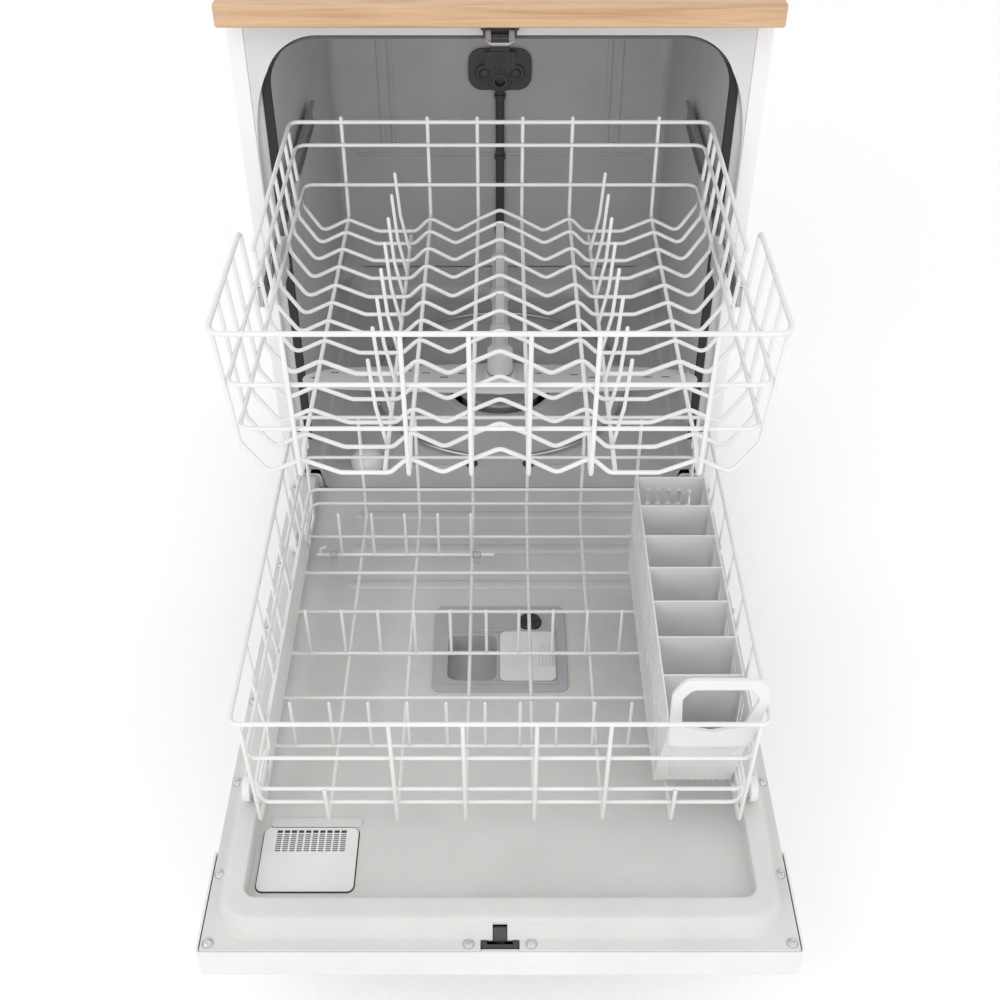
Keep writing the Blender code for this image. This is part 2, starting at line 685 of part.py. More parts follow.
def build_basket():
    """The cutlery basket along the lower rack's right side, with seven open cells and a raked front wall."""
    x, rear, floor, top = (165.0, 248.6), -157.0, 247.0, 392.0
    front_low, front_high, front_top = -499.0, -541.0, 372.0
    sides = [(front_low, floor), (rear, floor), (rear, top), (-531.0, top), (front_high, front_top)]
    basket = piece(
        "silverware_basket",
        add_prism(bmesh.new(), "x", sides, *x),
        "white_plastic",
        (207, -348, floor),
    )
    cells = bmesh.new()
    wall, first, pitch = 2.0, -531.0, (rear + 531.0) / 7
    low = floor + wall
    for i in range(7):
        near, far = first + pitch * i, first + pitch * (i + 1) - wall
        outline = [(near, low), (far, low), (far, top + 20), (near, top + 20)]
        if i == 0:
            outline[0] = (front_low + wall, low)
            outline[3:] = [(front_high + wall, top + 20), (front_high + wall, front_top)]
        add_prism(cells, "x", outline, x[0] + wall, x[1] - wall)
    cut(basket, cells)

    outer = [(168, front_top + GAP), (246, front_top + GAP), (259, 434)] + arc((243, 440), 16, 0, 90, 4)
    outer += arc((182, 440), 17, 90, 180, 4) + [(165, 434)]
    inner = [(178, 388), (207, 383), (238, 388), (247, 432)] + arc((239, 434), 9, 20, 90, 2)
    inner += arc((186, 434), 9, 90, 160, 2) + [(177, 432)]
    handle = flat_band(outer, inner, -547, -541)
    piece("basket_handle", handle, "white_plastic", (207, -348, floor))


def flat_band(outer, inner, start, end):
    """The band in X and Z between two outlines, from one place on Y to another."""
    bm = bmesh.new()
    bands = []
    for outline in (outer, inner):
        bands.append([[bm.verts.new((x, place, z)) for x, z in outline] for place in (start, end)])
    for near, far in bands:
        for i in range(len(near)):
            j = (i + 1) % len(near)
            bm.faces.new((near[i], near[j], far[j], far[i]))
    for face in (0, 1):
        edges = []
        for band in bands:
            ring = band[face]
            edges += [bm.edges.get((ring[i], ring[(i + 1) % len(ring)])) for i in range(len(ring))]
        bmesh.ops.triangle_fill(bm, edges=edges, use_beauty=True, use_dissolve=False)
    return bm


UPPER_RIM = 769.0
UPPER_REAR_RIM = 738.0
UPPER_FLOOR = 616.0
UPPER_FRONT = -431.0
UPPER_BACK = 82.0
RAISED_END = -248.0
UPPER_CROSS_Y = [-414.0, -374.0, -334.0, -294.0, -208.0, -168.0, -130.0, -92.0, -50.0, -8.0, 34.0, 66.0]
WAVE = [(219, 604), (187, 620), (151, 604), (104, 604), (86, 622), (54, 604), (26, 620), (0, 633)]
FEED_Z = 582.0
MANIFOLD_Z = (566.0, 631.0)
UPPER_HUB_Y = (UPPER_FRONT + UPPER_BACK) / 2


def upper_half(z):
    return leaning((240, UPPER_FLOOR), (252, UPPER_RIM), z)


def upper_front(z):
    return leaning((-420, 604), (UPPER_FRONT, UPPER_RIM), z)


def hanging_wire(y, rim):
    """A cross wire that hangs from the rim, with the waved floor that glasses and bowls rest on."""
    left = [(-upper_half(rim), y, rim), (-upper_half(640), y, 640)]
    left += [(-x, y, z) for x, z in WAVE]
    right = [(-x, y, z) for x, y, z in reversed(left[:-1])]
    return left + right


def upper_rack_routes():
    routes = []
    rim = upper_half(UPPER_RIM)
    corner = arc((-rim + 9, UPPER_FRONT + 9), 9, 180, 270, 2)
    front = [(x, y, UPPER_RIM) for x, y in corner]
    front += [(-x, y, z) for x, y, z in reversed(front)]
    raised = hanging_wire(RAISED_END, UPPER_RIM)
    half = len(raised) // 2 + 1
    routes.append((list(reversed(raised[:half])) + front, False))
    routes.append(([front[-1]] + list(reversed(raised[half - 1:])), False))
    rear_rim = upper_half(731)
    back = [(-rear_rim, -214, 731), (-rear_rim, UPPER_BACK, UPPER_REAR_RIM)]
    back += [(-x, y, z) for x, y, z in reversed(back)]
    routes.append((back, False))
    for z in (711.0, 660.0):
        inset = upper_half(z) - CROSS
        routes.append((rail_loop(inset, upper_front(z) + CROSS, UPPER_BACK - CROSS, z), True))
    for y in UPPER_CROSS_Y:
        routes.append((hanging_wire(y, UPPER_RIM if y < RAISED_END else 731.0), False))
    for side in (-1, 1):
        for x, low in ((27, 616.4), (86, 618.0), (188, 615.9)):
            routes.append(
                (
                    [
                        (side * x, upper_front(UPPER_RIM), UPPER_RIM - 1),
                        (side * x, -420, 604),
                        (side * x, -405, 604),
                        (side * x, -388, low),
                        (side * x, UPPER_BACK, low),
                        (side * x, UPPER_BACK, UPPER_REAR_RIM - 1),
                    ],
                    False,
                )
            )
        routes.append(([(side * 110, -404, 600), (side * 110, 60, 600)], False))
    return routes


def build_upper_rack():
    bm = bmesh.new()
    for points, closed in upper_rack_routes():
        add_wire(bm, points, closed=closed)
    for side in (-1, 1):
        for i in range(8):
            y = -366 + 56 * i
            add_wire(bm, [(side * 110, y, 599), (side * 122, y, 700)], WIRE - 0.5)
    rack = piece("upper_rack", bm, "white_nylon")
    brackets = bmesh.new()
    for y in ROLLER_Y:
        for _, side in SIDES:
            add_box(brackets, span(side, 240.4, 247), (y - 24, y + 24), (630, 672))
            ends = [(3, side * 246), (3, side * 259)]
            add_turned(brackets, ends, (0, y, ROLLER_Z), "x", steps=8)
    join(rack, brackets, self_join=True)

    for place, y in zip(("front", "rear"), ROLLER_Y):
        for label, side in SIDES:
            profile = [(3.4, 254.2), (ROLLER_R, 254.2), (ROLLER_R, 259.7), (3.4, 259.7)]
            profile = [(r, side * p) for r, p in profile]
            roller = add_turned(bmesh.new(), profile, (0, y, ROLLER_Z), "x", steps=14, ring=True)
            piece(f"rack_roller_{place}_{label}", roller, "white_plastic", (side * 257, y, ROLLER_Z), True)

    feed = add_turned(bmesh.new(), [(9, UPPER_HUB_Y), (9, 84.4)], (0, 0, FEED_Z), "y", steps=12)
    tube = piece("upper_feed_tube", feed, "pale_plastic", smooth=True)
    stem = [(0, -45), (18, -45), (18, -40), (9, -40), (9, -22), (14, -22), (14, 4), (0, 4)]
    join(tube, add_turned(bmesh.new(), stem, (0, UPPER_HUB_Y, FEED_Z), steps=16))
    cut(tube, add_turned(bmesh.new(), [(6, -150), (6, 90)], (0, 0, FEED_Z), "y", steps=10))


def build_tracks():
    """C-shaped rails beside the upper rack; each one runs on a roller fixed to the tub wall."""
    for label, side in SIDES:
        near, far = TRACK_X
        low, high = TRACK_Z
        outline = [(near, low), (far, low), (far, high), (near, high), (near, high - 2.2)]
        outline += [(far - 2, high - 2.2), (far - 2, low + 2.2), (near, low + 2.2)]
        outline = [(side * x, z) for x, z in outline]
        rail = add_prism(bmesh.new(), "y", outline, TRACK_Y[0], TRACK_Y[1])
        piece(f"upper_track_{label}", rail, "pale_plastic", (side * 259, TRACK_Y[0], 646))
        profile = [(0, 256), (9, 256), (9, 262.2), (3, 262.2), (3, 267.6), (0, 267.6)]
        profile = [(r, side * p) for r, p in profile]
        roller = add_turned(bmesh.new(), profile, (0, *TUB_ROLLER_AT), "x", steps=16)
        piece(f"track_roller_{label}", roller, "white_plastic", (side * 259, *TUB_ROLLER_AT), True)


# ---------------------------------------------------------------- places of the small moving pieces

FLOAT_AT = (-196.0, 118.0)
HEATER_R = 205.0
DIAL_AT = (205.0, -622.0)
KEY_X = (-240.0, -205.0, -170.0)
KEY_Y = -622.0
PAWL_AT = (-661.8, 190.0)
RINSE_AT = (38.0, -222.0)
WHEEL_Y = (-505.0, -105.0)
WHEEL_Z = LEDGE_Z + WHEEL_R + GAP
ROLLER_Y = (-95.0, 62.0)
ROLLER_Z = 646.0
TRACK_Y = (-162.5, 337.5)
TUB_ROLLER_AT = (95.0, TRACK_Z[0] - GAP - 9)


def build():
    clear_scene()
    build_worktop()
    build_skins()
    build_base()
    build_tub()
    build_front_frame()
    build_gasket()
    build_striker()
    build_water_supply()
    build_wash_system()
    spray_arm("lower_spray_arm", (0, SUMP_Y, 206), 9, 228, 20, 9.4)
    build_springs()
    build_door_panel()
    build_console()
    build_door_liner()
    build_latch()
    build_dispenser()
    build_vent()
    build_hinge_arms()
    build_lower_rack()
    build_basket()
    build_upper_rack()
    spray_arm("upper_spray_arm", (0, UPPER_HUB_Y, FEED_Z - 37), 10, 222, 20, 9.4)
    build_tracks()


build()
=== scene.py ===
"""The looks of a dishwasher with its door down and its racks drawn out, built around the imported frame.

Shapes are worked out in millimetres in the frame's own axes and turned into metres when a piece is made.
"""

import json
import math

import bmesh
import bpy
from mathutils import Matrix, Vector

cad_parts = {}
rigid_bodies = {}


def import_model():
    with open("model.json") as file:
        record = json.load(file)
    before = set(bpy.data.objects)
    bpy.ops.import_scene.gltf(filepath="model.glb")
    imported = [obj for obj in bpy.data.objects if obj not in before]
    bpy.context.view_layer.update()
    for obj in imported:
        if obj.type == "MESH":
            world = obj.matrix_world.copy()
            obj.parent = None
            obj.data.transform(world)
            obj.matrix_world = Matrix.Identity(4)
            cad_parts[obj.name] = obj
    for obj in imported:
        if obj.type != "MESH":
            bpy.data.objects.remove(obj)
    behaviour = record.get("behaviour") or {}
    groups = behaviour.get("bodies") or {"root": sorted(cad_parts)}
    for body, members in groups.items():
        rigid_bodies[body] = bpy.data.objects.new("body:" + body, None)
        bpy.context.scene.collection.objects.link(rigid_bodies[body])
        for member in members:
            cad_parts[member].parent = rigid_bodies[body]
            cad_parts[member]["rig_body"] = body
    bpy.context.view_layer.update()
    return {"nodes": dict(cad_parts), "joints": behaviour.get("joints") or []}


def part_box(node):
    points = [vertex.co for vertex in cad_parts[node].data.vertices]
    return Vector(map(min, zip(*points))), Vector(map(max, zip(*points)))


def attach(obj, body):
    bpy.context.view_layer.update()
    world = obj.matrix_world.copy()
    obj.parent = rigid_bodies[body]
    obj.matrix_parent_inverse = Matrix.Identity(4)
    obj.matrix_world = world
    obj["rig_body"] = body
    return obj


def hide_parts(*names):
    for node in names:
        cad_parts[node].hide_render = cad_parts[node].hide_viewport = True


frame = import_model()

NODES = frame["nodes"]
MM = 0.001
SIDES = (("left", -1), ("right", 1))
ROWS = ("front", "rear")
Z = Vector((0, 0, 1))
FEED_Z = 582.0
LINER_FLAT = 204.6
LINER_WALL = 2.4


def limits(node):
    """Lowest and highest corner of a CAD node, in millimetres."""
    low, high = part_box(node)
    return low / MM, high / MM


def middle_yz(low, high):
    """The middle of a box, seen along X."""
    return (low.y + high.y) / 2, (low.z + high.z) / 2


def joint_at(name):
    """The point of a joint's axis, in millimetres."""
    found = [joint for joint in frame["joints"] if joint["name"] == name]
    return Vector(found[0]["pos_m"]) / MM


# ---------------------------------------------------------------- finishes

FINISHES = {}


def add_node(tree, kind, inputs=None, **settings):
    made = tree.nodes.new("ShaderNode" + kind)
    for key, value in settings.items():
        setattr(made, key, value)
    for key, value in (inputs or {}).items():
        made.inputs[key].default_value = value
    return made


def tinted(colour, factor):
    return (*[min(1.0, part * factor) for part in colour], 1.0)


def finish(
    name,
    colour,
    roughness,
    metallic=0.0,
    shade=0.04,
    patch=14.0,
    grain=1200.0,
    depth=0.00003,
    stretch=(1, 1, 1),
    vary=0.06,
    coat=0.0,
    scatter=0.0,
):
    """A material with a faintly uneven colour and gloss, and a fine surface grain."""
    made = bpy.data.materials.new(name)
    made.use_nodes = True
    tree = made.node_tree
    shader = tree.nodes["Principled BSDF"]
    shader.inputs["Metallic"].default_value = metallic
    shader.inputs["Coat Weight"].default_value = coat
    shader.inputs["Coat Roughness"].default_value = 0.08
    if scatter:
        shader.inputs["Subsurface Weight"].default_value = scatter
        shader.inputs["Subsurface Radius"].default_value = (0.004, 0.004, 0.004)
    where = add_node(tree, "TexCoord")
    mapping = add_node(tree, "Mapping", {"Scale": stretch})
    patches = add_node(tree, "TexNoise", {"Scale": patch, "Detail": 4.0, "Roughness": 0.55})
    grains = add_node(tree, "TexNoise", {"Scale": grain, "Detail": 3.0, "Roughness": 0.6})
    ramp = add_node(tree, "ValToRGB")
    ramp.color_ramp.elements[0].position = 0.32
    ramp.color_ramp.elements[0].color = tinted(colour, 1 - shade)
    ramp.color_ramp.elements[1].position = 0.68
    ramp.color_ramp.elements[1].color = tinted(colour, 1 + shade * 0.5)
    gloss = add_node(
        tree, "MapRange", {"To Min": max(0.03, roughness - vary), "To Max": min(1.0, roughness + vary)}
    )
    bump = add_node(tree, "Bump", {"Strength": 0.6, "Distance": depth})
    links = tree.links
    links.new(where.outputs["Object"], mapping.inputs["Vector"])
    links.new(mapping.outputs["Vector"], patches.inputs["Vector"])
    links.new(mapping.outputs["Vector"], grains.inputs["Vector"])
    links.new(patches.outputs[0], ramp.inputs[0])
    links.new(patches.outputs[0], gloss.inputs["Value"])
    links.new(grains.outputs[0], bump.inputs["Height"])
    links.new(ramp.outputs[0], shader.inputs["Base Color"])
    links.new(gloss.outputs[0], shader.inputs["Roughness"])
    links.new(bump.outputs[0], shader.inputs["Normal"])
    FINISHES[name] = made
    return made


def wood_finish():
    """Oiled maple: long soft figure along X, fine pores, and a few darker streaks."""
    made = bpy.data.materials.new("maple")
    made.use_nodes = True
    tree = made.node_tree
    shader = tree.nodes["Principled BSDF"]
    shader.inputs["Coat Weight"].default_value = 0.12
    shader.inputs["Coat Roughness"].default_value = 0.3
    where = add_node(tree, "TexCoord")
    long_way = add_node(tree, "Mapping", {"Scale": (2.2, 26.0, 60.0)})
    fibre_way = add_node(tree, "Mapping", {"Scale": (14.0, 420.0, 600.0)})
    figure = add_node(
        tree, "TexNoise", {"Scale": 1.6, "Detail": 6.0, "Roughness": 0.62, "Distortion": 0.9}
    )
    fibres = add_node(tree, "TexNoise", {"Scale": 1.0, "Detail": 5.0, "Roughness": 0.7})
    ramp = add_node(tree, "ValToRGB")
    stops = ramp.color_ramp.elements
    stops[0].position, stops[0].color = 0.25, (0.42, 0.235, 0.115, 1)
    stops[1].position, stops[1].color = 0.75, (0.67, 0.46, 0.30, 1)
    middle = stops.new(0.48)
    middle.color = (0.58, 0.37, 0.215, 1)
    pores = add_node(tree, "ValToRGB")
    pores.color_ramp.elements[0].position = 0.36
    pores.color_ramp.elements[0].color = (0.80, 0.76, 0.70, 1)
    pores.color_ramp.elements[1].position = 0.52
    blended = add_node(tree, "Mix", data_type="RGBA", blend_type="MULTIPLY")
    blended.inputs[0].default_value = 0.55
    gloss = add_node(tree, "MapRange", {"To Min": 0.34, "To Max": 0.52})
    bump = add_node(tree, "Bump", {"Strength": 0.35, "Distance": 0.00012})
    links = tree.links
    links.new(where.outputs["Object"], long_way.inputs["Vector"])
    links.new(where.outputs["Object"], fibre_way.inputs["Vector"])
    links.new(long_way.outputs[0], figure.inputs["Vector"])
    links.new(fibre_way.outputs[0], fibres.inputs["Vector"])
    links.new(figure.outputs[0], ramp.inputs[0])
    links.new(fibres.outputs[0], pores.inputs[0])
    links.new(ramp.outputs[0], blended.inputs[6])
    links.new(pores.outputs[0], blended.inputs[7])
    links.new(blended.outputs[2], shader.inputs["Base Color"])
    links.new(fibres.outputs[0], gloss.inputs["Value"])
    links.new(gloss.outputs[0], shader.inputs["Roughness"])
    links.new(fibres.outputs[0], bump.inputs["Height"])
    links.new(bump.outputs[0], shader.inputs["Normal"])
    FINISHES["maple"] = made


def make_finishes():
    wood_finish()
    finish(
        "enamel",
        (0.80, 0.80, 0.80),
        0.24,
        shade=0.012,
        grain=260,
        depth=0.00002,
        coat=0.3
    )
    finish("console_white", (0.71, 0.71, 0.71), 0.32, grain=2200, depth=0.00001, coat=0.1)
    finish("tub_grey", (0.60, 0.607, 0.62), 0.42, grain=700, shade=0.05, coat=0.15)
    finish("frame_pale", (0.63, 0.64, 0.65), 0.36, grain=1500)
    finish("liner_pale", (0.61, 0.61, 0.595), 0.38, grain=1800, depth=0.00002, coat=0.08)
    finish("cover_pale", (0.72, 0.72, 0.71), 0.36, grain=1800, depth=0.00002)
    finish("grey_part", (0.42, 0.43, 0.44), 0.4, grain=1400)
    finish("black_part", (0.035, 0.035, 0.038), 0.42, grain=1500, shade=0.12)
    finish("charcoal_part", (0.075, 0.077, 0.082), 0.4, grain=1300, shade=0.1)
    finish("nylon", (0.73, 0.73, 0.725), 0.3, grain=500, depth=0.00004, coat=0.15)
    finish("basket_white", (0.72, 0.72, 0.715), 0.34, grain=1500, scatter=0.15)
    finish("wheel_white", (0.80, 0.80, 0.79), 0.36, grain=1400)
    finish("seal_black", (0.018, 0.018, 0.019), 0.62, grain=1600, depth=0.00005, shade=0.15)
    finish("polished", (0.66, 0.66, 0.67), 0.2, 1.0, grain=900, depth=0.00001)
    finish("satin_steel", (0.62, 0.62, 0.62), 0.32, 0.35, grain=900, depth=0.00001)
    finish("brushed", (0.58, 0.58, 0.59), 0.34, 1.0, stretch=(1, 1, 30), grain=300, depth=0.00002)
    finish("galvanised", (0.56, 0.575, 0.59), 0.38, 1.0, shade=0.07, patch=60, vary=0.06)
    finish("cast_grey", (0.12, 0.12, 0.125), 0.55, 0.7, grain=420, depth=0.0002, shade=0.12)


# ---------------------------------------------------------------- outlines and routes


def arc(centre, radius, start, end, steps):
    """Points on an arc, both ends included; angles in degrees."""
    return [
        (
            centre[0] + radius * math.cos(math.radians(start + (end - start) * i / steps)),
            centre[1] + radius * math.sin(math.radians(start + (end - start) * i / steps)),
        )
        for i in range(steps + 1)
    ]


def rounded_box(x0, x1, y0, y1, radius, steps=8):
    """A rectangle with four equal round corners, anticlockwise."""
    points = []
    for cx, cy, start in (
        (x1 - radius, y1 - radius, 0),
        (x0 + radius, y1 - radius, 90),
        (x0 + radius, y0 + radius, 180),
        (x1 - radius, y0 + radius, 270),
    ):
        points += arc((cx, cy), radius, start, start + 90, steps)
    return points


def filleted(points, radius, closed=False, steps=4):
    """The route with each corner rounded off, as near to that radius as its neighbours allow."""
    points = [Vector(p) for p in points]
    count = len(points)
    route = []
    for i, corner in enumerate(points):
        if not closed and i in (0, count - 1):
            route.append(corner)
            continue
        to_last = points[i - 1] - corner
        to_next = points[(i + 1) % count] - corner
        angle = to_last.angle(to_next)
        if angle > math.radians(174):
            route.append(corner)
            continue
        reach = min(radius / math.tan(angle / 2), 0.48 * to_last.length, 0.48 * to_next.length)
        start = corner + to_last.normalized() * reach
        end = corner + to_next.normalized() * reach
        for k in range(steps + 1):
            s = k / steps
            route.append(start * (1 - s) ** 2 + corner * (2 * s * (1 - s)) + end * s * s)
    return route


# ---------------------------------------------------------------- solids


def add_rings(bm, rings, closed=False):
    """Joins rings of points into a tube: capped at both ends, or closed on itself."""
    made = [[bm.verts.new(p) for p in ring] for ring in rings]
    count = len(rings[0])
    pairs = list(zip(made, made[1:]))
    if closed:
        pairs.append((made[-1], made[0]))
    for low, high in pairs:
        for i in range(count):
            j = (i + 1) % count
            bm.faces.new((low[i], low[j], high[j], high[i]))
    if not closed:
        bm.faces.new(list(reversed(made[0])))
        bm.faces.new(made[-1])
    return bm


def add_box(bm, x, y, z):
    """A box between two places on each axis, given as pairs."""
    low = [(x[0], y[0]), (x[1], y[0]), (x[1], y[1]), (x[0], y[1])]
    return add_rings(bm, [[(px, py, level) for px, py in low] for level in z])


def along(axis, outline, place):
    """Outline points lifted to 3D at one place on the axis."""
    if axis == "x":
        return [(place, p[0], p[1]) for p in outline]
    if axis == "y":
        return [(p[0], place, p[1]) for p in outline]
    return [(p[0], p[1], place) for p in outline]


def add_prism(bm, axis, outline, start, end):
    """A solid of one outline between two places on an axis."""
    return add_rings(bm, [along(axis, outline, start), along(axis, outline, end)])


def add_turned(bm, profile, centre, axis="z", steps=48, ring=False):
    """Turns (radius, place) points about an axis; a ring's profile closes on itself away from the axis."""
    rings = []
    for radius, place in profile:
        circle = arc((0, 0), max(radius, 0.001), 0, 360, steps)[:-1]
        rings.append([Vector(p) + Vector(centre) for p in along(axis, circle, place)])
    return add_rings(bm, rings, closed=ring)


def add_bead(bm, start, end, normal, half, height, rows=8, turns=5):
    """A pressed half-round bead with round ends, lying on a wall whose normal is given."""
    start, end, normal = Vector(start), Vector(end), Vector(normal)
    way = (end - start).normalized()
    across = way.cross(normal)
    rings = []
    steps = [90 * k / turns for k in range(turns + 1)]
    stations = [(start + way * half * (1 - math.cos(math.radians(a))), a) for a in steps]
    stations += [(end - way * half * (1 - math.cos(math.radians(a))), a) for a in reversed(steps)]
    for centre, angle in stations:
        size = max(0.02, math.sin(math.radians(angle)))
        section = [
            centre
            + across * (half * size * math.cos(math.pi * k / rows))
            + normal * (height * size * math.sin(math.pi * k / rows) - 0.05)
            for k in range(rows + 1)
        ]
        section.append(centre - across * half * size - normal * 0.4)
        section.append(centre + across * half * size - normal * 0.4)
        rings.append(section)
    return add_rings(bm, rings)


def scratch(bm):
    """A hidden object for one step of a Boolean, in millimetres."""
    bmesh.ops.recalc_face_normals(bm, faces=bm.faces)
    mesh = bpy.data.meshes.new("step")
    bm.to_mesh(mesh)
    bm.free()
    obj = bpy.data.objects.new("step", mesh)
    bpy.context.scene.collection.objects.link(obj)
    return obj


def combined(bm, *steps, self_join=False):
    """The solid after each (operation, solid) step, with its flat faces merged."""
    base = scratch(bm)
    used = [base]
    for operation, other_bm in steps:
        modifier = base.modifiers.new("step", "BOOLEAN")
        modifier.operation = operation
        modifier.solver = "EXACT"
        modifier.use_self = self_join
        modifier.object = scratch(other_bm)
        used.append(modifier.object)
    made = base.evaluated_get(bpy.context.evaluated_depsgraph_get())
    result = bmesh.new()
    result.from_mesh(made.to_mesh())
    made.to_mesh_clear()
    for obj in used:
        bpy.data.meshes.remove(obj.data)
    bmesh.ops.remove_doubles(result, verts=result.verts, dist=0.004)
    bmesh.ops.dissolve_limit(
        result, angle_limit=math.radians(0.4), verts=result.verts, edges=result.edges
    )
    return result


def thickened(bm, thickness):
    """The open sheet as a closed wall of that thickness, grown away from its normals."""
    mesh = bpy.data.meshes.new("sheet")
    bm.to_mesh(mesh)
    bm.free()
    sheet = bpy.data.objects.new("sheet", mesh)
    bpy.context.scene.collection.objects.link(sheet)
    wall = sheet.modifiers.new("wall", "SOLIDIFY")
    wall.thickness = thickness
    wall.offset = -1.0
    made = sheet.evaluated_get(bpy.context.evaluated_depsgraph_get())
    solid = bmesh.new()
    solid.from_mesh(made.to_mesh())
    bpy.data.meshes.remove(mesh)
    return solid


def less(bm, *others):
    """The first solid with the others cut away."""
    return combined(bm, *[("DIFFERENCE", other) for other in others])


def plus(bm, *others):
    """The solids joined as one."""
    return combined(bm, *[("UNION", other) for other in others])


# ---------------------------------------------------------------- pieces


def settle(obj, finish_name, body, nodes):
    """Gives a piece its finish, its body and the CAD nodes that it stands for."""
    obj.data.materials.append(FINISHES[finish_name])
    bpy.context.scene.collection.objects.link(obj)
    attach(obj, body)
    if nodes:
        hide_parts(*nodes)
    return obj


def shape(name, bm, finish_name, body, nodes=(), bevel=0.0, segments=3, angle=32):
    """A mesh piece from a bmesh in millimetres, with softened edges where a width is given."""
    bmesh.ops.recalc_face_normals(bm, faces=bm.faces)
    bm.transform(Matrix.Scale(MM, 4))
    mesh = bpy.data.meshes.new(name)
    bm.to_mesh(mesh)
    bm.free()
    mesh.shade_smooth()
    if not bevel:
        mesh.set_sharp_from_angle(angle=math.radians(angle))
    obj = bpy.data.objects.new(name, mesh)
    if bevel:
        modifier = obj.modifiers.new("soft_edges", "BEVEL")
        modifier.width = bevel * MM
        modifier.segments = segments
        modifier.limit_method = "ANGLE"
        modifier.angle_limit = math.radians(angle)
        modifier.harden_normals = True
    return settle(obj, finish_name, body, nodes)


def refined(node, name, finish_name, bevel, segments=3):
    """The CAD node's own shape with its edges softened."""
    bm = bmesh.new()
    bm.from_mesh(NODES[node].data)
    bm.transform(Matrix.Scale(1 / MM, 4))
    bmesh.ops.remove_doubles(bm, verts=bm.verts, dist=0.004)
    bmesh.ops.dissolve_limit(bm, angle_limit=math.radians(0.4), verts=bm.verts, edges=bm.edges)
    return shape(name, bm, finish_name, NODES[node]["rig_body"], [node], bevel, segments)


def domed(points, radius):
    """(point, share of the radius) along an open wire, with both ends rounded over."""
    first, last = points[0], points[-1]
    out = (first - points[1]).normalized()
    on = (last - points[-2]).normalized()
    angles = (86, 62, 34)
    marks = [(math.sin(math.radians(a)) * radius, math.cos(math.radians(a))) for a in angles]
    start = [(first + out * reach, share) for reach, share in marks]
    end = [(last + on * reach, share) for reach, share in reversed(marks)]
    return start + [(p, 1.0) for p in points] + end


def wires(name, routes, finish_name, body, nodes=(), facets=3):
    """Round wires as one piece. A route is (points, radius, closed)."""
    curve = bpy.data.curves.new(name, "CURVE")
    curve.dimensions = "3D"
    curve.bevel_depth = MM
    curve.bevel_resolution = facets
    curve.use_fill_caps = True
    for points, radius, closed in routes:
        points = [Vector(p) for p in points]
        marks = [(p, 1.0) for p in points] if closed else domed(points, radius)
        spline = curve.splines.new("POLY")
        spline.points.add(len(marks) - 1)
        spline.use_cyclic_u = closed
        for point, (place, share) in zip(spline.points, marks):
            point.co = (*(place * MM), 1.0)
            point.radius = radius * share
    return settle(bpy.data.objects.new(name, curve), finish_name, body, nodes)


# ---------------------------------------------------------------- cabinet


def build_worktop():
    low, high = limits("worktop")
    outline = rounded_box(low.x, high.x, low.y, high.y, 4)
    slab = add_prism(bmesh.new(), "z", outline, low.z, high.z)
    shape("worktop_slab", slab, "maple", "cabinet", ["worktop"], bevel=2.6, segments=4)


def build_skins():
    for label, _ in SIDES:
        refined(f"side_panel_{label}", f"side_skin_{label}", "enamel", 0.7)
    low, high = limits("back_panel")
    back = add_prism(bmesh.new(), "y", rounded_box(low.x, high.x, low.z, high.z, 6), low.y, high.y)
    beads = bmesh.new()
    out = Vector((0, 1, 0))
    for side in (-1, 1):
        for reach in (90, 205):
            ends = [(side * reach, high.y, z) for z in (low.z + 70, high.z - 70)]
            add_bead(beads, *ends, out, 9, 3.2)
    add_bead(beads, (-215, high.y, high.z - 34), (215, high.y, high.z - 34), out, 7, 2.6)
    add_bead(beads, (-215, high.y, low.z + 34), (215, high.y, low.z + 34), out, 7, 2.6)
    shape("back_sheet", back, "galvanised", "cabinet", ["back_panel"], bevel=0.5)
    shape("back_beads", beads, "galvanised", "cabinet", angle=50)
    refined("base_pan", "base_tray", "galvanised", 0.8)
    low, high = limits("toe_kick")
    kick = add_prism(bmesh.new(), "y", rounded_box(low.x, high.x, low.z, high.z, 4), low.y, high.y)
    slots = bmesh.new()
    for i in range(15):
        x = -126 + 18 * i
        add_prism(slots, "y", rounded_box(x - 3, x + 3, 52, 92, 2.9, 5), low.y - 5, high.y + 5)
    shape("kick_plate", less(kick, slots), "enamel", "cabinet", ["toe_kick"], bevel=0.5)


def build_legs():
    """Four threaded feet, each with a round pad and a hexagon nut."""
    for row in ROWS:
        for label, _ in SIDES:
            node = f"levelling_leg_{row}_{label}"
            low, high = limits(node)
            middle = (low + high) / 2
            pad = [(0, 0), (16.5, 0), (19, 1.6), (19, 5), (17.5, 7), (9, 9.5), (6.4, 11), (0, 11)]
            leg = add_turned(bmesh.new(), pad, (middle.x, middle.y, 0), steps=40)
            nut = arc((middle.x, middle.y), 8.4, 0, 360, 6)[:-1]
            add_prism(leg, "z", nut, 11, 17)
            thread = [(0, 16.5)]
            crest = 17.0
            while crest < high.z - 2:
                thread += [(4.1, crest), (5.0, crest + 0.7), (4.1, crest + 1.4)]
                crest += 1.4
            thread += [(4.1, high.z - 0.6), (3.4, high.z), (0, high.z)]
            add_turned(leg, thread, (middle.x, middle.y, 0), steps=24)
            shape(f"screw_foot_{row}_{label}", leg, "charcoal_part", "cabinet", [node], angle=40)


# ---------------------------------------------------------------- tub

TUB_HALF = 268.0
TUB_TOP = 850.0
TUB_CORNER = 65.0
TUB_WALL = 2.5


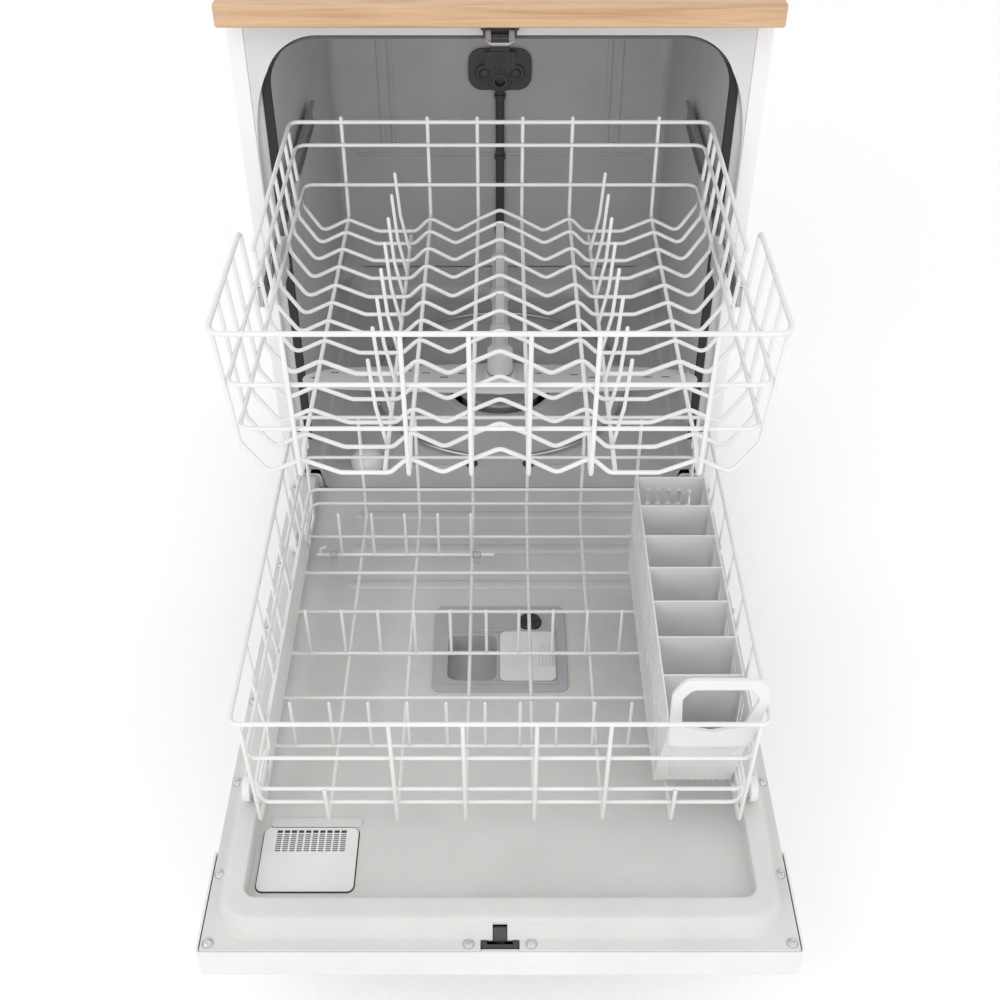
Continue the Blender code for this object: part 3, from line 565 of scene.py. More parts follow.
def tub_section(grow, steps=18, corner_r=7):
    """The tub's inside outline across X and Z, moved outwards by grow."""
    floor, ledge = 190, 226
    right = [
        (252 + grow, floor - grow),
        (256 + grow, ledge - grow),
        (281 + grow, ledge - grow),
        (281 + grow, 264 + grow),
        (TUB_HALF + grow, 272 + grow),
    ]
    corners = filleted([(0, floor - grow), *right, (TUB_HALF + grow, 400)], corner_r, steps=3)
    right_low = [(p.x, p.y) for p in corners[1:-1]]
    turn = arc((TUB_HALF - TUB_CORNER, TUB_TOP - TUB_CORNER), TUB_CORNER + grow, 0, 90, steps)
    half = right_low + turn
    return half + [(-x, z) for x, z in reversed(half)]


def build_tub():
    """A moulded liner: a straight tunnel whose walls turn into the rear one with a soft radius."""
    low, high = limits("tub")
    rear, soft = high.y - TUB_WALL, 20.0
    stations = [(low.y + 12, 0.0), (low.y + 14, 0.0), (200, 0.0), (400, 0.0)]
    for k in range(9):
        angle = math.radians(90 * k / 8)
        stations.append((rear - soft + soft * math.sin(angle), -soft * (1 - math.cos(angle))))
    bm = bmesh.new()
    rings = [[bm.verts.new((x, y, z)) for x, z in tub_section(grow)] for y, grow in stations]
    for near, far in zip(rings, rings[1:]):
        for i in range(len(near)):
            j = (i + 1) % len(near)
            bm.faces.new((near[i], far[i], far[j], near[j]))
    bm.faces.new(rings[-1])
    bmesh.ops.recalc_face_normals(bm, faces=bm.faces)
    if sum((f.normal.z for f in bm.faces if f.calc_center_median().z > 845)) > 0:
        bmesh.ops.reverse_faces(bm, faces=bm.faces)
    shell = thickened(bm, TUB_WALL)
    sump = joint_at("filter_twist")
    float_low, float_high = limits("overfill_float")
    at_float = (float_low + float_high) / 2
    holes = add_turned(bmesh.new(), [(84, 150), (84, 230)], (sump.x, sump.y, 0), steps=64)
    add_turned(holes, [(5.5, 150), (5.5, 230)], (at_float.x, at_float.y, 0), steps=24)
    shape("tub_shell", less(shell, holes), "tub_grey", "cabinet", ["tub"], angle=40)

    beads = bmesh.new()
    inward = Vector((0, -1, 0))
    for side in (-1, 1):
        for x in (174, 191):
            add_bead(beads, (side * x, rear, 466), (side * x, rear, 800), inward, 4.5, 2.2)
        add_bead(beads, (side * 70, 120, 190), (side * 160, 120, 190), Z, 4, 1.2)
    add_bead(beads, (-236, rear, 455), (236, rear, 455), inward, 3.2, 1.6)
    shape("tub_beads", beads, "tub_grey", "cabinet", angle=60)

    well = [(84.2, 187.6), (84.2, 189.6), (90, 191.0), (97, 191.2), (99, 190.0), (99, 187.8)]
    collar = add_turned(bmesh.new(), well, (sump.x, sump.y, 0), steps=72, ring=True)
    shape("sump_collar", collar, "tub_grey", "cabinet", angle=50)


def throat_ring(share, steps=28):
    """The lip's outline between the face of the frame, at 0, and the seal, at 1."""
    face = [(284, 300), (284, 500)]
    for i in range(steps + 1):
        turn = math.radians(90 * i / steps)
        face.append((200 + 84 * math.cos(turn) ** 0.86, 700 + 146 * math.sin(turn) ** 0.8))
    inner = [(272, 300), (272, 500)]
    for i in range(steps + 1):
        turn = math.radians(90 * i / steps)
        inner.append((203 + 69 * math.cos(turn), 785 + 65 * math.sin(turn)))
    right = [
        (x0 + (x1 - x0) * share, z0 + (z1 - z0) * share) for (x0, z0), (x1, z1) in zip(face, inner)
    ]
    return right + [(-x, z) for x, z in reversed(right)]


def build_front_frame():
    """A pale frame whose sides roll inwards round the mouth to a black seal."""
    low, high = limits("front_frame")
    bm = bmesh.new()
    stations = []
    for k in range(9):
        turn = math.radians(90 * k / 8)
        stations.append((1 - math.cos(turn), 55 + 13 * math.sin(turn)))
    rings = []
    for share, y in stations:
        rings.append([bm.verts.new((x, y, z)) for x, z in throat_ring(share)])
    for near, far in zip(rings, rings[1:]):
        for i in range(len(near) - 1):
            bm.faces.new((near[i], near[i + 1], far[i + 1], far[i]))
    shape("mouth_throat", bm, "frame_pale", "cabinet", angle=60)

    plate = add_prism(bmesh.new(), "y", rounded_box(-285, 285, low.z, high.z, 2), 55, 57)
    opening = add_prism(bmesh.new(), "y", throat_ring(0), 40, 70)
    ledge = add_prism(bmesh.new(), "y", tub_section(0), 40, 70)
    trimmed = less(plate, opening, ledge)
    solids = []
    hinge = joint_at("door_hinge")
    for _, side in SIDES:
        outline = filleted(
            [(54.7, 160), (54.7, 200), (25, 200), (0, 190), (0, 172), (25, 160)], 5, closed=True
        )
        solids.append(add_prism(bmesh.new(), "x", outline, side * 288, side * 292.5))
        near, far = sorted((side * 272, side * 290))
        solids.append(add_box(bmesh.new(), (near, far), (51, 55.5), (162, 198)))
        ends = [(3.2, side * 289), (4, side * 290), (4, side * 296.6), (3.2, side * 297.3)]
        solids.append(add_turned(bmesh.new(), ends, (0, hinge.y, hinge.z), "x", steps=32))
    frame_bm = plus(trimmed, *solids)
    shape("mouth_frame", frame_bm, "frame_pale", "cabinet", ["front_frame"], bevel=0.4)

    low, high = limits("door_gasket")
    corner = (TUB_HALF - TUB_CORNER, TUB_TOP - TUB_CORNER)
    outlines = []
    for inset in (-6.4, 3.2):
        right = [(TUB_HALF - inset, low.z)] + arc(corner, TUB_CORNER - inset, 0, 90, 24)
        outlines.append(right + [(-x, z) for x, z in reversed(right)])
    outer, inner = outlines
    flat = [(x, min(z, TUB_TOP - 0.6)) for x, z in outer]
    band = add_prism(bmesh.new(), "y", flat + list(reversed(inner)), 66, high.y)
    shape("mouth_seal", band, "seal_black", "cabinet", ["door_gasket"], bevel=0.8)
    lips = [([(x, y, z) for x, z in inner], 1.3, False) for y in (low.y + 8, high.y - 2)]
    wires("seal_lips", lips, "seal_black", "cabinet")


def build_striker():
    """A black bracket with two ears, and the flat loop that the door's latch closes on."""
    low, high = limits("striker_bracket")
    body = add_prism(bmesh.new(), "y", rounded_box(-19, 19, low.z, 866, 4), low.y, high.y)
    top = add_prism(bmesh.new(), "y", rounded_box(-10.5, 10.5, 860, high.z, 2), low.y - 1, high.y)
    pocket = add_prism(bmesh.new(), "y", rounded_box(-16.6, 16.6, 853.9, 862.1, 3), 40, 52)
    ears = bmesh.new()
    for side in (-1, 1):
        add_turned(ears, [(4.6, low.y - 1.6), (4.6, low.y + 4)], (side * 17, 0, 862), "y", steps=28)
    case = less(plus(body, top, ears), pocket)
    shape("latch_striker", case, "black_part", "cabinet", ["striker_bracket"], 0.6)
    low, high = limits("striker_loop")
    loop = bmesh.new()
    route = filleted([(-13, 51.2, 858), (-13, 45.5, 858), (-13, 33.2, 847.8)], 4)
    back = [Vector((-p.x, p.y, p.z)) for p in reversed(route)]
    turned = filleted(list(route) + back, 5, steps=6)
    rings = []
    for i, point in enumerate(turned):
        ahead = turned[min(i + 1, len(turned) - 1)] - turned[max(i - 1, 0)]
        across = ahead.cross(Vector((0, 0.62, 0.78))).normalized()
        lift = across.cross(ahead).normalized()
        rings.append(
            [point + across * a + lift * b for a, b in ((-3, -0.9), (3, -0.9), (3, 0.9), (-3, 0.9))]
        )
    add_rings(loop, rings)
    shape("latch_loop", loop, "satin_steel", "cabinet", ["striker_loop"], bevel=0.5)


def build_water_supply():
    """The riser on the tub's rear wall and the docking manifold that it ends in."""
    low, high = limits("water_inlet_manifold")
    knob_x, knob_z = 24.6, 594.0
    solid = add_prism(bmesh.new(), "y", rounded_box(-50, 50, 566, 631, 22, 12), 607.5, high.y)
    block = add_prism(bmesh.new(), "y", rounded_box(-25, 25, 584, 629, 4), 602.4, 609)
    hood = add_prism(bmesh.new(), "y", rounded_box(-15.5, 15.5, 622, 662, 3), 604, 613)
    stem = add_prism(bmesh.new(), "z", rounded_box(-8, 8, 605.6, 614.2, 3), 625, high.z)
    knobs = bmesh.new()
    shoulders = bmesh.new()
    for side in (-1, 1):
        centre = (side * knob_x, 0, knob_z)
        add_turned(shoulders, [(13, 603.4), (14.5, 604.6), (14.5, 609)], centre, "y", steps=40)
        add_turned(
            knobs, [(0, 598.6), (5, 599), (7.6, 600.6), (8.7, 603), (8.7, 606)], centre, "y", steps=36
        )
    collar = [(16.5, 601.6), (18, 603), (18, 609)]
    port = [(12.4, 600), (14, 601.4), (14, 609)]
    solid = plus(
        solid,
        block,
        hood,
        stem,
        shoulders,
        knobs,
        add_turned(bmesh.new(), collar, (0, 0, FEED_Z), "y", steps=48),
        add_turned(bmesh.new(), port, (0, 0, FEED_Z), "y", steps=40),
    )
    bore = add_turned(bmesh.new(), [(8, 590), (8, 611)], (0, 0, FEED_Z), "y", steps=32)
    solid = less(solid, bore)
    shape("feed_manifold", solid, "charcoal_part", "cabinet", ["water_inlet_manifold"], bevel=0.6)
    ribs = bmesh.new()
    for x in (-6, 0, 6):
        add_box(ribs, (x - 0.8, x + 0.8), (601.4, 603), (602, 624))
    for z in (700, 770):
        add_prism(ribs, "z", rounded_box(-10.5, 10.5, 604.8, 614.4, 3), z, z + 6)
    shape("manifold_ribs", ribs, "charcoal_part", "cabinet", bevel=0.4)
    low, high = limits("supply_pipe")
    tube = add_turned(bmesh.new(), [(7, low.z), (7, high.z)], (0, 607, 0), steps=36)
    for z in (low.z + 12, 320, 450, high.z - 14):
        add_turned(tube, [(7, z), (9, z + 1), (9, z + 8), (7, z + 9)], (0, 607, 0), steps=36)
    shape("riser_pipe", tube, "charcoal_part", "cabinet", ["supply_pipe"], angle=40)


def build_wash_system():
    """The sump, filter, heating element and overfill float in the floor of the tub."""
    sump = joint_at("filter_twist")
    at = (sump.x, sump.y, 0)
    low, high = limits("sump")
    under = 187.2
    profile = [(0, low.z), (84, low.z), (90, low.z + 6), (90, 180), (110, 180), (110, under), (80, under)]
    profile += [(80, 128), (74, 122), (12, 122), (12, 203), (9, 203), (9, 216.6), (7.6, 218), (0, 218)]
    bowl = add_turned(bmesh.new(), profile, at, steps=72)
    shape("sump_bowl", bowl, "black_part", "cabinet", ["sump"], 0.8)

    low, high = limits("filter")
    ring = [(20, 140), (62, 140), (62, 192), (72, 192), (74, 193.4), (74, 195.6), (72, 197), (64, 197)]
    ring += [(60, 194.4), (26, 194.4), (23, 197), (20, 197)]
    basket = add_turned(bmesh.new(), ring, at, steps=96, ring=True)
    slits = bmesh.new()
    for k in range(60):
        way = math.radians(6 * k + 3)
        across = Vector((math.cos(way), math.sin(way), 0))
        side = Vector((-across.y, across.x, 0))
        corners = ((29, -0.5), (29, 0.5), (57, 1.2), (57, -1.2))
        section = [across * r + side * w + Vector(at) for r, w in corners]
        add_rings(slits, [[p + Z * z for p in section] for z in (192.9, 196)])
    shape("filter_cup", less(basket, slits), "grey_part", "filter", ["filter"], angle=35)
    bars = bmesh.new()
    for k in range(4):
        way = math.radians(90 * k)
        across = Vector((math.cos(way), math.sin(way), 0))
        side = Vector((-across.y, across.x, 0))
        section = [across * r + side * w + Vector(at) for r, w in ((25, -2), (25, 2), (63, 2), (63, -2))]
        add_rings(bars, [[p + Z * z for p in section] for z in (193.6, 200.4 if k == 0 else 196.4)])
    shape("filter_handle", bars, "grey_part", "filter", bevel=0.7)

    low, high = limits("heating_element")
    reach = (high.x - low.x) / 2 - 3.5
    turn = [math.radians(12 + 336 * i / 96) for i in range(97)]
    loop = [(reach * math.sin(t), sump.y - reach * math.cos(t), 197) for t in turn]
    ends = [(loop[0][0], loop[0][1] - 12, 197), (loop[-1][0], loop[-1][1] - 12, 197)]
    route = [(*ends[0][:2], 190.6), ends[0], *loop, ends[1], (*ends[1][:2], 190.6)]
    rounded = filleted(route, 8)
    wires("heater_tube", [(rounded, 3.4, False)], "brushed", "cabinet", ["heating_element"], facets=5)
    clips = bmesh.new()
    for degrees in (70, 180, 290):
        way = math.radians(degrees)
        x, y = reach * math.sin(way), sump.y - reach * math.cos(way)
        add_turned(clips, [(6, 190.1), (6, 191.6), (2.4, 192.6), (2.4, 194.2)], (x, y, 0), steps=24)
        add_turned(clips, [(5.2, -3), (5.2, 3)], (x, y, 196.8), "y", steps=28)
    shape("heater_clips", clips, "brushed", "cabinet", bevel=0.4)
    glands = bmesh.new()
    for x, y, _ in ends:
        add_turned(glands, [(9, 190.1), (9, 192), (6.5, 193.6), (4, 193.6)], (x, y, 0), steps=32)
    shape("heater_glands", glands, "black_part", "cabinet", bevel=0.4)

    low, high = limits("overfill_float")
    middle = (low + high) / 2
    profile = [(0, low.z), (4, low.z), (4, 193), (22, 194), (24, 196), (24, 205), (21, 210.5)]
    profile += [(15, 215.6), (8, 218.2), (0, 219)]
    dome = add_turned(bmesh.new(), profile, (middle.x, middle.y, 0), steps=56)
    for k in range(12):
        way = math.radians(30 * k)
        at_rib = (middle.x + 23.6 * math.cos(way), middle.y + 23.6 * math.sin(way), 0)
        add_turned(dome, [(0.2, 195.4), (1, 196), (1, 204), (0.2, 205.4)], at_rib, steps=10)
    shape("float_dome", dome, "wheel_white", "overfill_float", ["overfill_float"], angle=40)


def blade(reach, half, thick, z):
    """A spray arm: wide at the hub, narrower at the tips, flat below and domed above."""
    rings = []
    stations = [math.sin(math.radians(a)) for a in range(-90, 91, 6)]
    for u in stations:
        tip = math.sqrt(max(0.0, 1 - abs(u) ** 9))
        wide = max(0.3, half * (1 - 0.34 * abs(u)) * tip)
        tall = max(0.3, thick * (1 - 0.25 * abs(u)) * (0.25 + 0.75 * tip))
        section = []
        for k in range(13):
            a = math.pi * k / 12
            section.append((wide * math.cos(a), 2.2 + (tall - 2.2) * math.sin(a) ** 0.8))
        section += [(-wide * 0.96, 0.8), (-wide * 0.9, 0), (wide * 0.9, 0), (wide * 0.96, 0.8)]
        rings.append([(u * reach, w, z + h) for w, h in section])
    return rings


def build_spray_arm(node, body, name, thick):
    low, high = limits(node)
    middle = joint_at("lower_arm_spin" if body == "lower_spray_arm" else "upper_arm_spin")
    place = Matrix.Translation(Vector((middle.x, middle.y, 0)))
    arm = add_rings(bmesh.new(), blade(high.x - middle.x, 29, thick, low.z + 2))
    hub = [(20, low.z), (20, low.z + 2), (17.5, low.z + 4), (17.5, high.z - 2.5), (15.5, high.z)]
    hub = [(0, low.z), *hub, (0, high.z)]
    add_turned(arm, hub, (0, 0, 0), steps=56)
    for k in range(9):
        for side in (-1, 1):
            reach = 42 + 20.5 * k
            x, y = side * reach, side * 7 * math.sin(1.7 * k)
            top = low.z + 2 + thick * (1 - 0.25 * reach / high.x)
            stadium = filleted(
                [(x - 7, y - 2.6), (x + 7, y - 2.6), (x + 7, y + 2.6), (x - 7, y + 2.6)], 2.5, True
            )
            add_prism(arm, "z", [(p.x, p.y) for p in stadium], top - 4, top - 0.1)
    arm.transform(place)
    shape(name, arm, "grey_part", body, [node], bevel=0.5)
    # Painted shade: black stadium patches on the arm's top stand in for the shade inside the nozzle
    # openings, which are not cut.
    jet_shade = bmesh.new()
    for k in range(9):
        for side in (-1, 1):
            reach = 42 + 20.5 * k
            x, y = side * reach, side * 7 * math.sin(1.7 * k)
            top = low.z + 2 + thick * (1 - 0.25 * reach / high.x)
            add_prism(
                jet_shade, "z", rounded_box(x - 4.6, x + 4.6, y - 0.8, y + 0.8, 0.75, 4), top - 1, top + 0.02
            )
    jet_shade.transform(place)
    shape(f"{name}_jets", jet_shade, "black_part", body)


def build_machinery():
    """The motor, the drain pump and the door springs under the tub."""
    low, high = limits("wash_motor")
    middle = (low + high) / 2
    profile = [(0, low.x), (28, low.x), (30, low.x + 2), (30, low.x + 8), (44, low.x + 8), (47, low.x + 11)]
    for k in range(9):
        x = low.x + 18 + 8 * k
        profile += [(47, x), (44.2, x + 1), (44.2, x + 3), (47, x + 4)]
    profile += [(47, high.x - 18), (44, high.x - 16), (38, high.x - 16), (36, high.x), (0, high.x)]
    body = add_turned(bmesh.new(), profile, (0, middle.y, middle.z), "x", steps=56)
    shape("motor_body", body, "cast_grey", "cabinet", ["wash_motor"], bevel=0.4)
    refined("drain_pump", "pump_body", "black_part", 1.2)
    for label, _ in SIDES:
        low, high = limits(f"door_spring_{label}")
        x, z = (low.x + high.x) / 2, (low.z + high.z) / 2
        first, last, turns = 195.0, 330.0, 30
        coil = []
        for i in range(turns * 14 + 1):
            way = 2 * math.pi * i / 14
            y = first + (last - first) * i / (turns * 14)
            coil.append((x + 6.6 * math.cos(way), y, z + 6.6 * math.sin(way)))
        front = filleted(
            [(x, low.y + 1.4, z - 3), (x, low.y + 1.4, z + 5), (x, first - 2, z + 5), coil[0]], 4
        )
        back = filleted(
            [coil[-1], (x, last + 3, z + 5), (x, high.y - 1.4, z + 5), (x, high.y - 1.4, z - 3)], 4
        )
        route = list(front[:-1]) + coil + list(back[1:])
        wires(f"spring_coil_{label}", [(route, 1.3, False)], "brushed", "cabinet", [f"door_spring_{label}"])


# ---------------------------------------------------------------- door


def build_door_panel():
    refined("door_panel", "door_tray", "enamel", 1.0, 4)
    low, high = limits("console")
    front, rear = low.y, high.y
    outline = arc((front + 1.2, high.z - 1.2), 1.2, 90, 180, 4) + arc(
        (front + 9, low.z + 9), 9, 180, 270, 12
    )
    outline += [(rear, low.z), (rear, high.z)]
    shell = add_prism(bmesh.new(), "x", outline, low.x, high.x)
    inner = high.x - 2.1
    seat = high.z - 3.3
    pocket = rounded_box(-80, 80, -596, rear - 6, 9)
    holes = add_turned(
        bmesh.new(), [(5.4, 140), (5.4, 170)], (*joint_at("timer_dial_spin").xy, 0), steps=32
    )
    for number in (1, 2, 3):
        key_low, key_high = limits(f"cycle_key_{number}")
        outline = rounded_box(key_low.x - 0.5, key_high.x + 0.5, key_low.y - 0.5, key_high.y + 0.5, 2.5, 5)
        add_prism(holes, "z", outline, 140, 170)
    steps = [
        ("DIFFERENCE", add_box(bmesh.new(), (-inner, inner), (front + 3.5, rear - 3), (low.z + 3, 230))),
        ("DIFFERENCE", add_box(bmesh.new(), (-inner, inner), (front - 1, rear + 9), (seat, 240))),
        (
            "UNION",
            add_prism(bmesh.new(), "z", rounded_box(-84, 84, -600, rear - 1, 12), low.z + 1, low.z + 22),
        ),
        ("DIFFERENCE", add_prism(bmesh.new(), "z", pocket, low.z - 5, low.z + 19)),
        ("DIFFERENCE", holes),
    ]
    shape("console_shell", combined(shell, *steps), "console_white", "door", ["console"], bevel=0.9)

    ticks = bmesh.new()
    dial = joint_at("timer_dial_spin")
    for k in range(24):
        way = math.radians(15 * k)
        long = 5.5 if k % 6 == 0 else 3.2
        across = Vector((math.cos(way), math.sin(way), 0))
        side = Vector((-across.y, across.x, 0)) * 0.35
        middle = Vector((dial.x, dial.y, 0))
        section = [
            middle + across * r + side * s for r,
            s in ((29.5, -1), (29.5, 1), (29.5 + long, 1), (29.5 + long, -1))
        ]
        add_rings(ticks, [[p + Z * z for p in section] for z in (low.z - 0.06, low.z + 0.3)])
    for number in (1, 2, 3):
        key_low, key_high = limits(f"cycle_key_{number}")
        x = (key_low.x + key_high.x) / 2
        add_turned(ticks, [(1.5, low.z - 0.08), (1.5, low.z + 0.4)], (x, key_high.y + 9, 0), steps=20)
    shape("console_marks", ticks, "charcoal_part", "door")


def build_controls():
    low, high = limits("timer_dial")
    middle = (low + high) / 2
    profile = [(0, low.z + 0.8), (17, low.z + 0.8), (18.5, low.z), (21, low.z), (23.5, low.z + 1.6)]
    profile += [(25, low.z + 5), (25, 147), (27, 150.4), (27, 151.6), (5, 151.6), (5, high.z), (0, high.z)]
    knob = add_turned(bmesh.new(), profile, (middle.x, middle.y, 0), steps=72)
    for k in range(36):
        way = math.radians(10 * k)
        at = (middle.x + 24.8 * math.cos(way), middle.y + 24.8 * math.sin(way), 0)
        add_turned(knob, [(0.2, 138.4), (0.9, 139.2), (0.9, 147.4), (0.2, 148.4)], at, steps=8)
    shape("dial_knob", knob, "console_white", "timer_dial", ["timer_dial"], angle=40)
    pointer = add_box(
        bmesh.new(), (middle.x - 0.8, middle.x + 0.8), (middle.y - 17, middle.y - 6), (134.5, 135.6)
    )
    shape("dial_pointer", pointer, "charcoal_part", "timer_dial", bevel=0.2)
    for number in (1, 2, 3):
        node = f"cycle_key_{number}"
        low, high = limits(node)
        outline = rounded_box(low.x, high.x, low.y, high.y, 2.2, 6)
        cap = add_prism(bmesh.new(), "z", outline, low.z, high.z)
        hollow = rounded_box(low.x + 3, high.x - 3, low.y + 2.6, high.y - 2.6, 1.6, 6)
        dished = less(cap, add_prism(bmesh.new(), "z", hollow, low.z - 3, low.z + 0.5))
        shape(f"key_cap_{number}", dished, "console_white", node, [node], bevel=0.6)


def rim_loop(u, z, rear, steps=12):
    """One loop round the door's raised rim; u runs from 0 at its outer foot to 1 at its inner one."""
    half, front, radius = 290 - 31 * u, -662 + 37 * u, 40 - 28 * u
    right = [(half, rear)] + list(reversed(arc((half - radius, front + radius), radius, -90, 0, steps)))
    points = right + [(-x, y) for x, y in reversed(right)]
    return [(x, y, z) for x, y in points]


def build_door_liner():
    """A moulded sheet whose rim stands up on three sides and runs out at the hinge side."""
    _, high = limits("door_liner")
    crest, flat = high.z, LINER_FLAT
    profile = [
        (-0.06, flat),
        (-0.01, flat + 0.5),
        (0.03, flat + 2.2),
        (0.24, crest - 3.4),
        (0.27, crest - 1.0),
        (0.32, crest - 0.15),
        (0.38, crest),
        (0.84, crest),
        (0.895, crest - 0.15),
        (0.925, crest - 0.8),
        (0.94, crest - 2.4),
        (0.965, flat + 2.2),
        (0.99, flat + 0.5),
        (1.05, flat),
        (1.25, flat),
    ]
    rear = high.y
    bm = bmesh.new()
    edge = [(299.5, rear)] + list(reversed(arc((297.5, -672.6), 2, -90, 0, 12)))
    outline = [(x, y, flat) for x, y in edge + [(-x, y) for x, y in reversed(edge)]]
    loops = [outline] + [rim_loop(u, z, rear) for u, z in profile]
    made = [[bm.verts.new(p) for p in loop] for loop in loops]
    for near, far in zip(made, made[1:]):
        for i in range(len(near) - 1):
            bm.faces.new((near[i], near[i + 1], far[i + 1], far[i]))
    bm.faces.new(made[-1])
    bmesh.ops.recalc_face_normals(bm, faces=bm.faces)
    if sum(f.normal.z * f.calc_area() for f in bm.faces) < 0:
        bmesh.ops.reverse_faces(bm, faces=bm.faces)
    solid = thickened(bm, LINER_WALL)
    holes = add_box(bmesh.new(), (-19.5, 19.5), (-690, -663.5), (190, 230))
    stem_hole = add_box(bmesh.new(), (-7.4, 7.4), (-664, -653.4), (190, 230))
    cup_hole = add_box(bmesh.new(), (-74.6, 74.6), (-329.6, -200.4), (190, 230))
    sheet = less(solid, holes, stem_hole, cup_hole)
    shape("liner_sheet", sheet, "liner_pale", "door", ["door_liner"], angle=40)

    ledge = bmesh.new()
    step = rounded_box(-247, -149.5, -530, -518.5, 3)
    add_prism(ledge, "z", step, flat - 1, flat + 2)
    for y in (-150, -80, -10):
        add_bead(ledge, (-200, y, flat), (200, y, flat), Z, 8, 1.6)
    shape("liner_beads", ledge, "liner_pale", "door", bevel=1.0, angle=60)


def build_vent():
    """The vent's cover: ten columns of fine louvres behind one row of open slots."""
    low, high = limits("vent_cover")
    near, far = low.y - 5.4, high.y - 4.6
    plate = add_prism(bmesh.new(), "z", rounded_box(low.x, high.x, near, far, 7), low.z, high.z)
    slits = bmesh.new()
    first, pitch, columns = -240.4, 7.64, 10
    for column in range(columns):
        left = first + pitch * column + 0.95
        right = left + pitch - 1.9
        for row in range(9):
            y = -561.2 + 2.5 * row
            add_box(slits, (left, right), (y, y + 1.65), (low.z - 2, high.z + 2))
        add_box(slits, (left, right), (-538.2, -534.4), (low.z - 2, high.z + 2))
    shape("vent_plate", less(plate, slits), "cover_pale", "door", ["vent_cover"], angle=30)
    last = first + pitch * columns
    dark = rounded_box(first - 1, last + 1, -562.5, -533.4, 1)
    shape("vent_shadow", add_prism(bmesh.new(), "z", dark, low.z - 0.2, high.z - 0.9), "black_part", "door")
    # Painted shadow: a thin black ring round the cover's foot stands in for the shadow gap between the cover
    # and the liner.
    gap_shadow = [(x, y, low.z) for x, y in rounded_box(low.x - 0.4, high.x + 0.4, near - 0.4, far + 0.4, 7.4)]
    wires("vent_gap_shadow", [(gap_shadow, 0.8, True)], "seal_black", "door")
    studs = bmesh.new()
    for column in range(18):
        x = first + 1 + 4.4 * column
        add_turned(
            studs, [(0.9, high.z - 0.5), (0.9, high.z), (0.5, high.z + 0.4)], (x, -532.9, 0), steps=12
        )
    shape("vent_studs", studs, "cover_pale", "door")


def build_latch():
    low, high = limits("latch_housing")
    body = add_prism(bmesh.new(), "z", rounded_box(low.x, high.x, low.y, -663.9, 1.5), 180, high.z + 0.4)
    under = add_box(bmesh.new(), (low.x, high.x), (-669.5, high.y), (178, 201.3))
    slot = add_box(bmesh.new(), (-13, 13), (-668.6, -655), (182, 230))
    shape("latch_case", less(plus(body, under), slot), "black_part", "door", ["latch_housing"], bevel=0.5)
    wedge = [(-665, 203), (-653.8, 203), (-653.8, 214.5), (-656, 214.5), (-663.5, 205.6), (-665, 205.4)]
    stem = add_prism(bmesh.new(), "x", wedge, -6.8, 6.8)
    shape("latch_stem", stem, "black_part", "door", bevel=0.4)
    refined("latch_pawl", "latch_cam", "polished", 0.5)


def build_dispenser():
    low, high = limits("dispenser_housing")
    body = add_prism(bmesh.new(), "z", rounded_box(-74, 74, -329, -201, 6), low.z, 206)
    flange = add_prism(bmesh.new(), "z", rounded_box(low.x, high.x, low.y, high.y, 10), 204.9, high.z)
    cap = joint_at("rinse_cap_twist")
    cup = add_prism(bmesh.new(), "z", rounded_box(-64, -4, -319, -245, 10), 180, 230)
    add_turned(cup, [(14.5, 195), (14.5, 230)], (cap.x, cap.y, 0), steps=48)
    shape(
        "dispenser_case",
        less(plus(body, flange), cup),
        "grey_part",
        "door",
        ["dispenser_housing"],
        bevel=0.8
    )
    rails = bmesh.new()
    for y in (-325.4, -238.6):
        add_box(rails, (-68, 70), (y - 1.4, y + 1.4), (206.8, 210.2))
    shape("dispenser_rails", rails, "grey_part", "door", bevel=0.5)
    low, high = limits("dispenser_lid")
    lid = add_prism(bmesh.new(), "z", rounded_box(low.x, high.x, low.y, high.y, 8), low.z, 210.6)
    grips = bmesh.new()
    for k in range(5):
        add_box(grips, (46 + 4 * k, 48 + 4 * k), (-302, -262), (210.2, 211.4 if k < 4 else 214))
    shape("dispenser_slider", plus(lid, grips), "cover_pale", "dispenser_lid", ["dispenser_lid"], bevel=0.5)
    low, high = limits("rinse_aid_cap")
    knob = add_turned(
        bmesh.new(), [(14, low.z), (14, 210), (13, 211), (0, 211)], (cap.x, cap.y, 0), steps=48
    )
    knob = plus(
        knob,
        add_prism(bmesh.new(), "z", rounded_box(cap.x - 11, cap.x + 11, cap.y - 2, cap.y + 2, 1.9), 208, 215)
    )
    shape("rinse_cap", knob, "black_part", "rinse_aid_cap", ["rinse_aid_cap"], bevel=0.6)


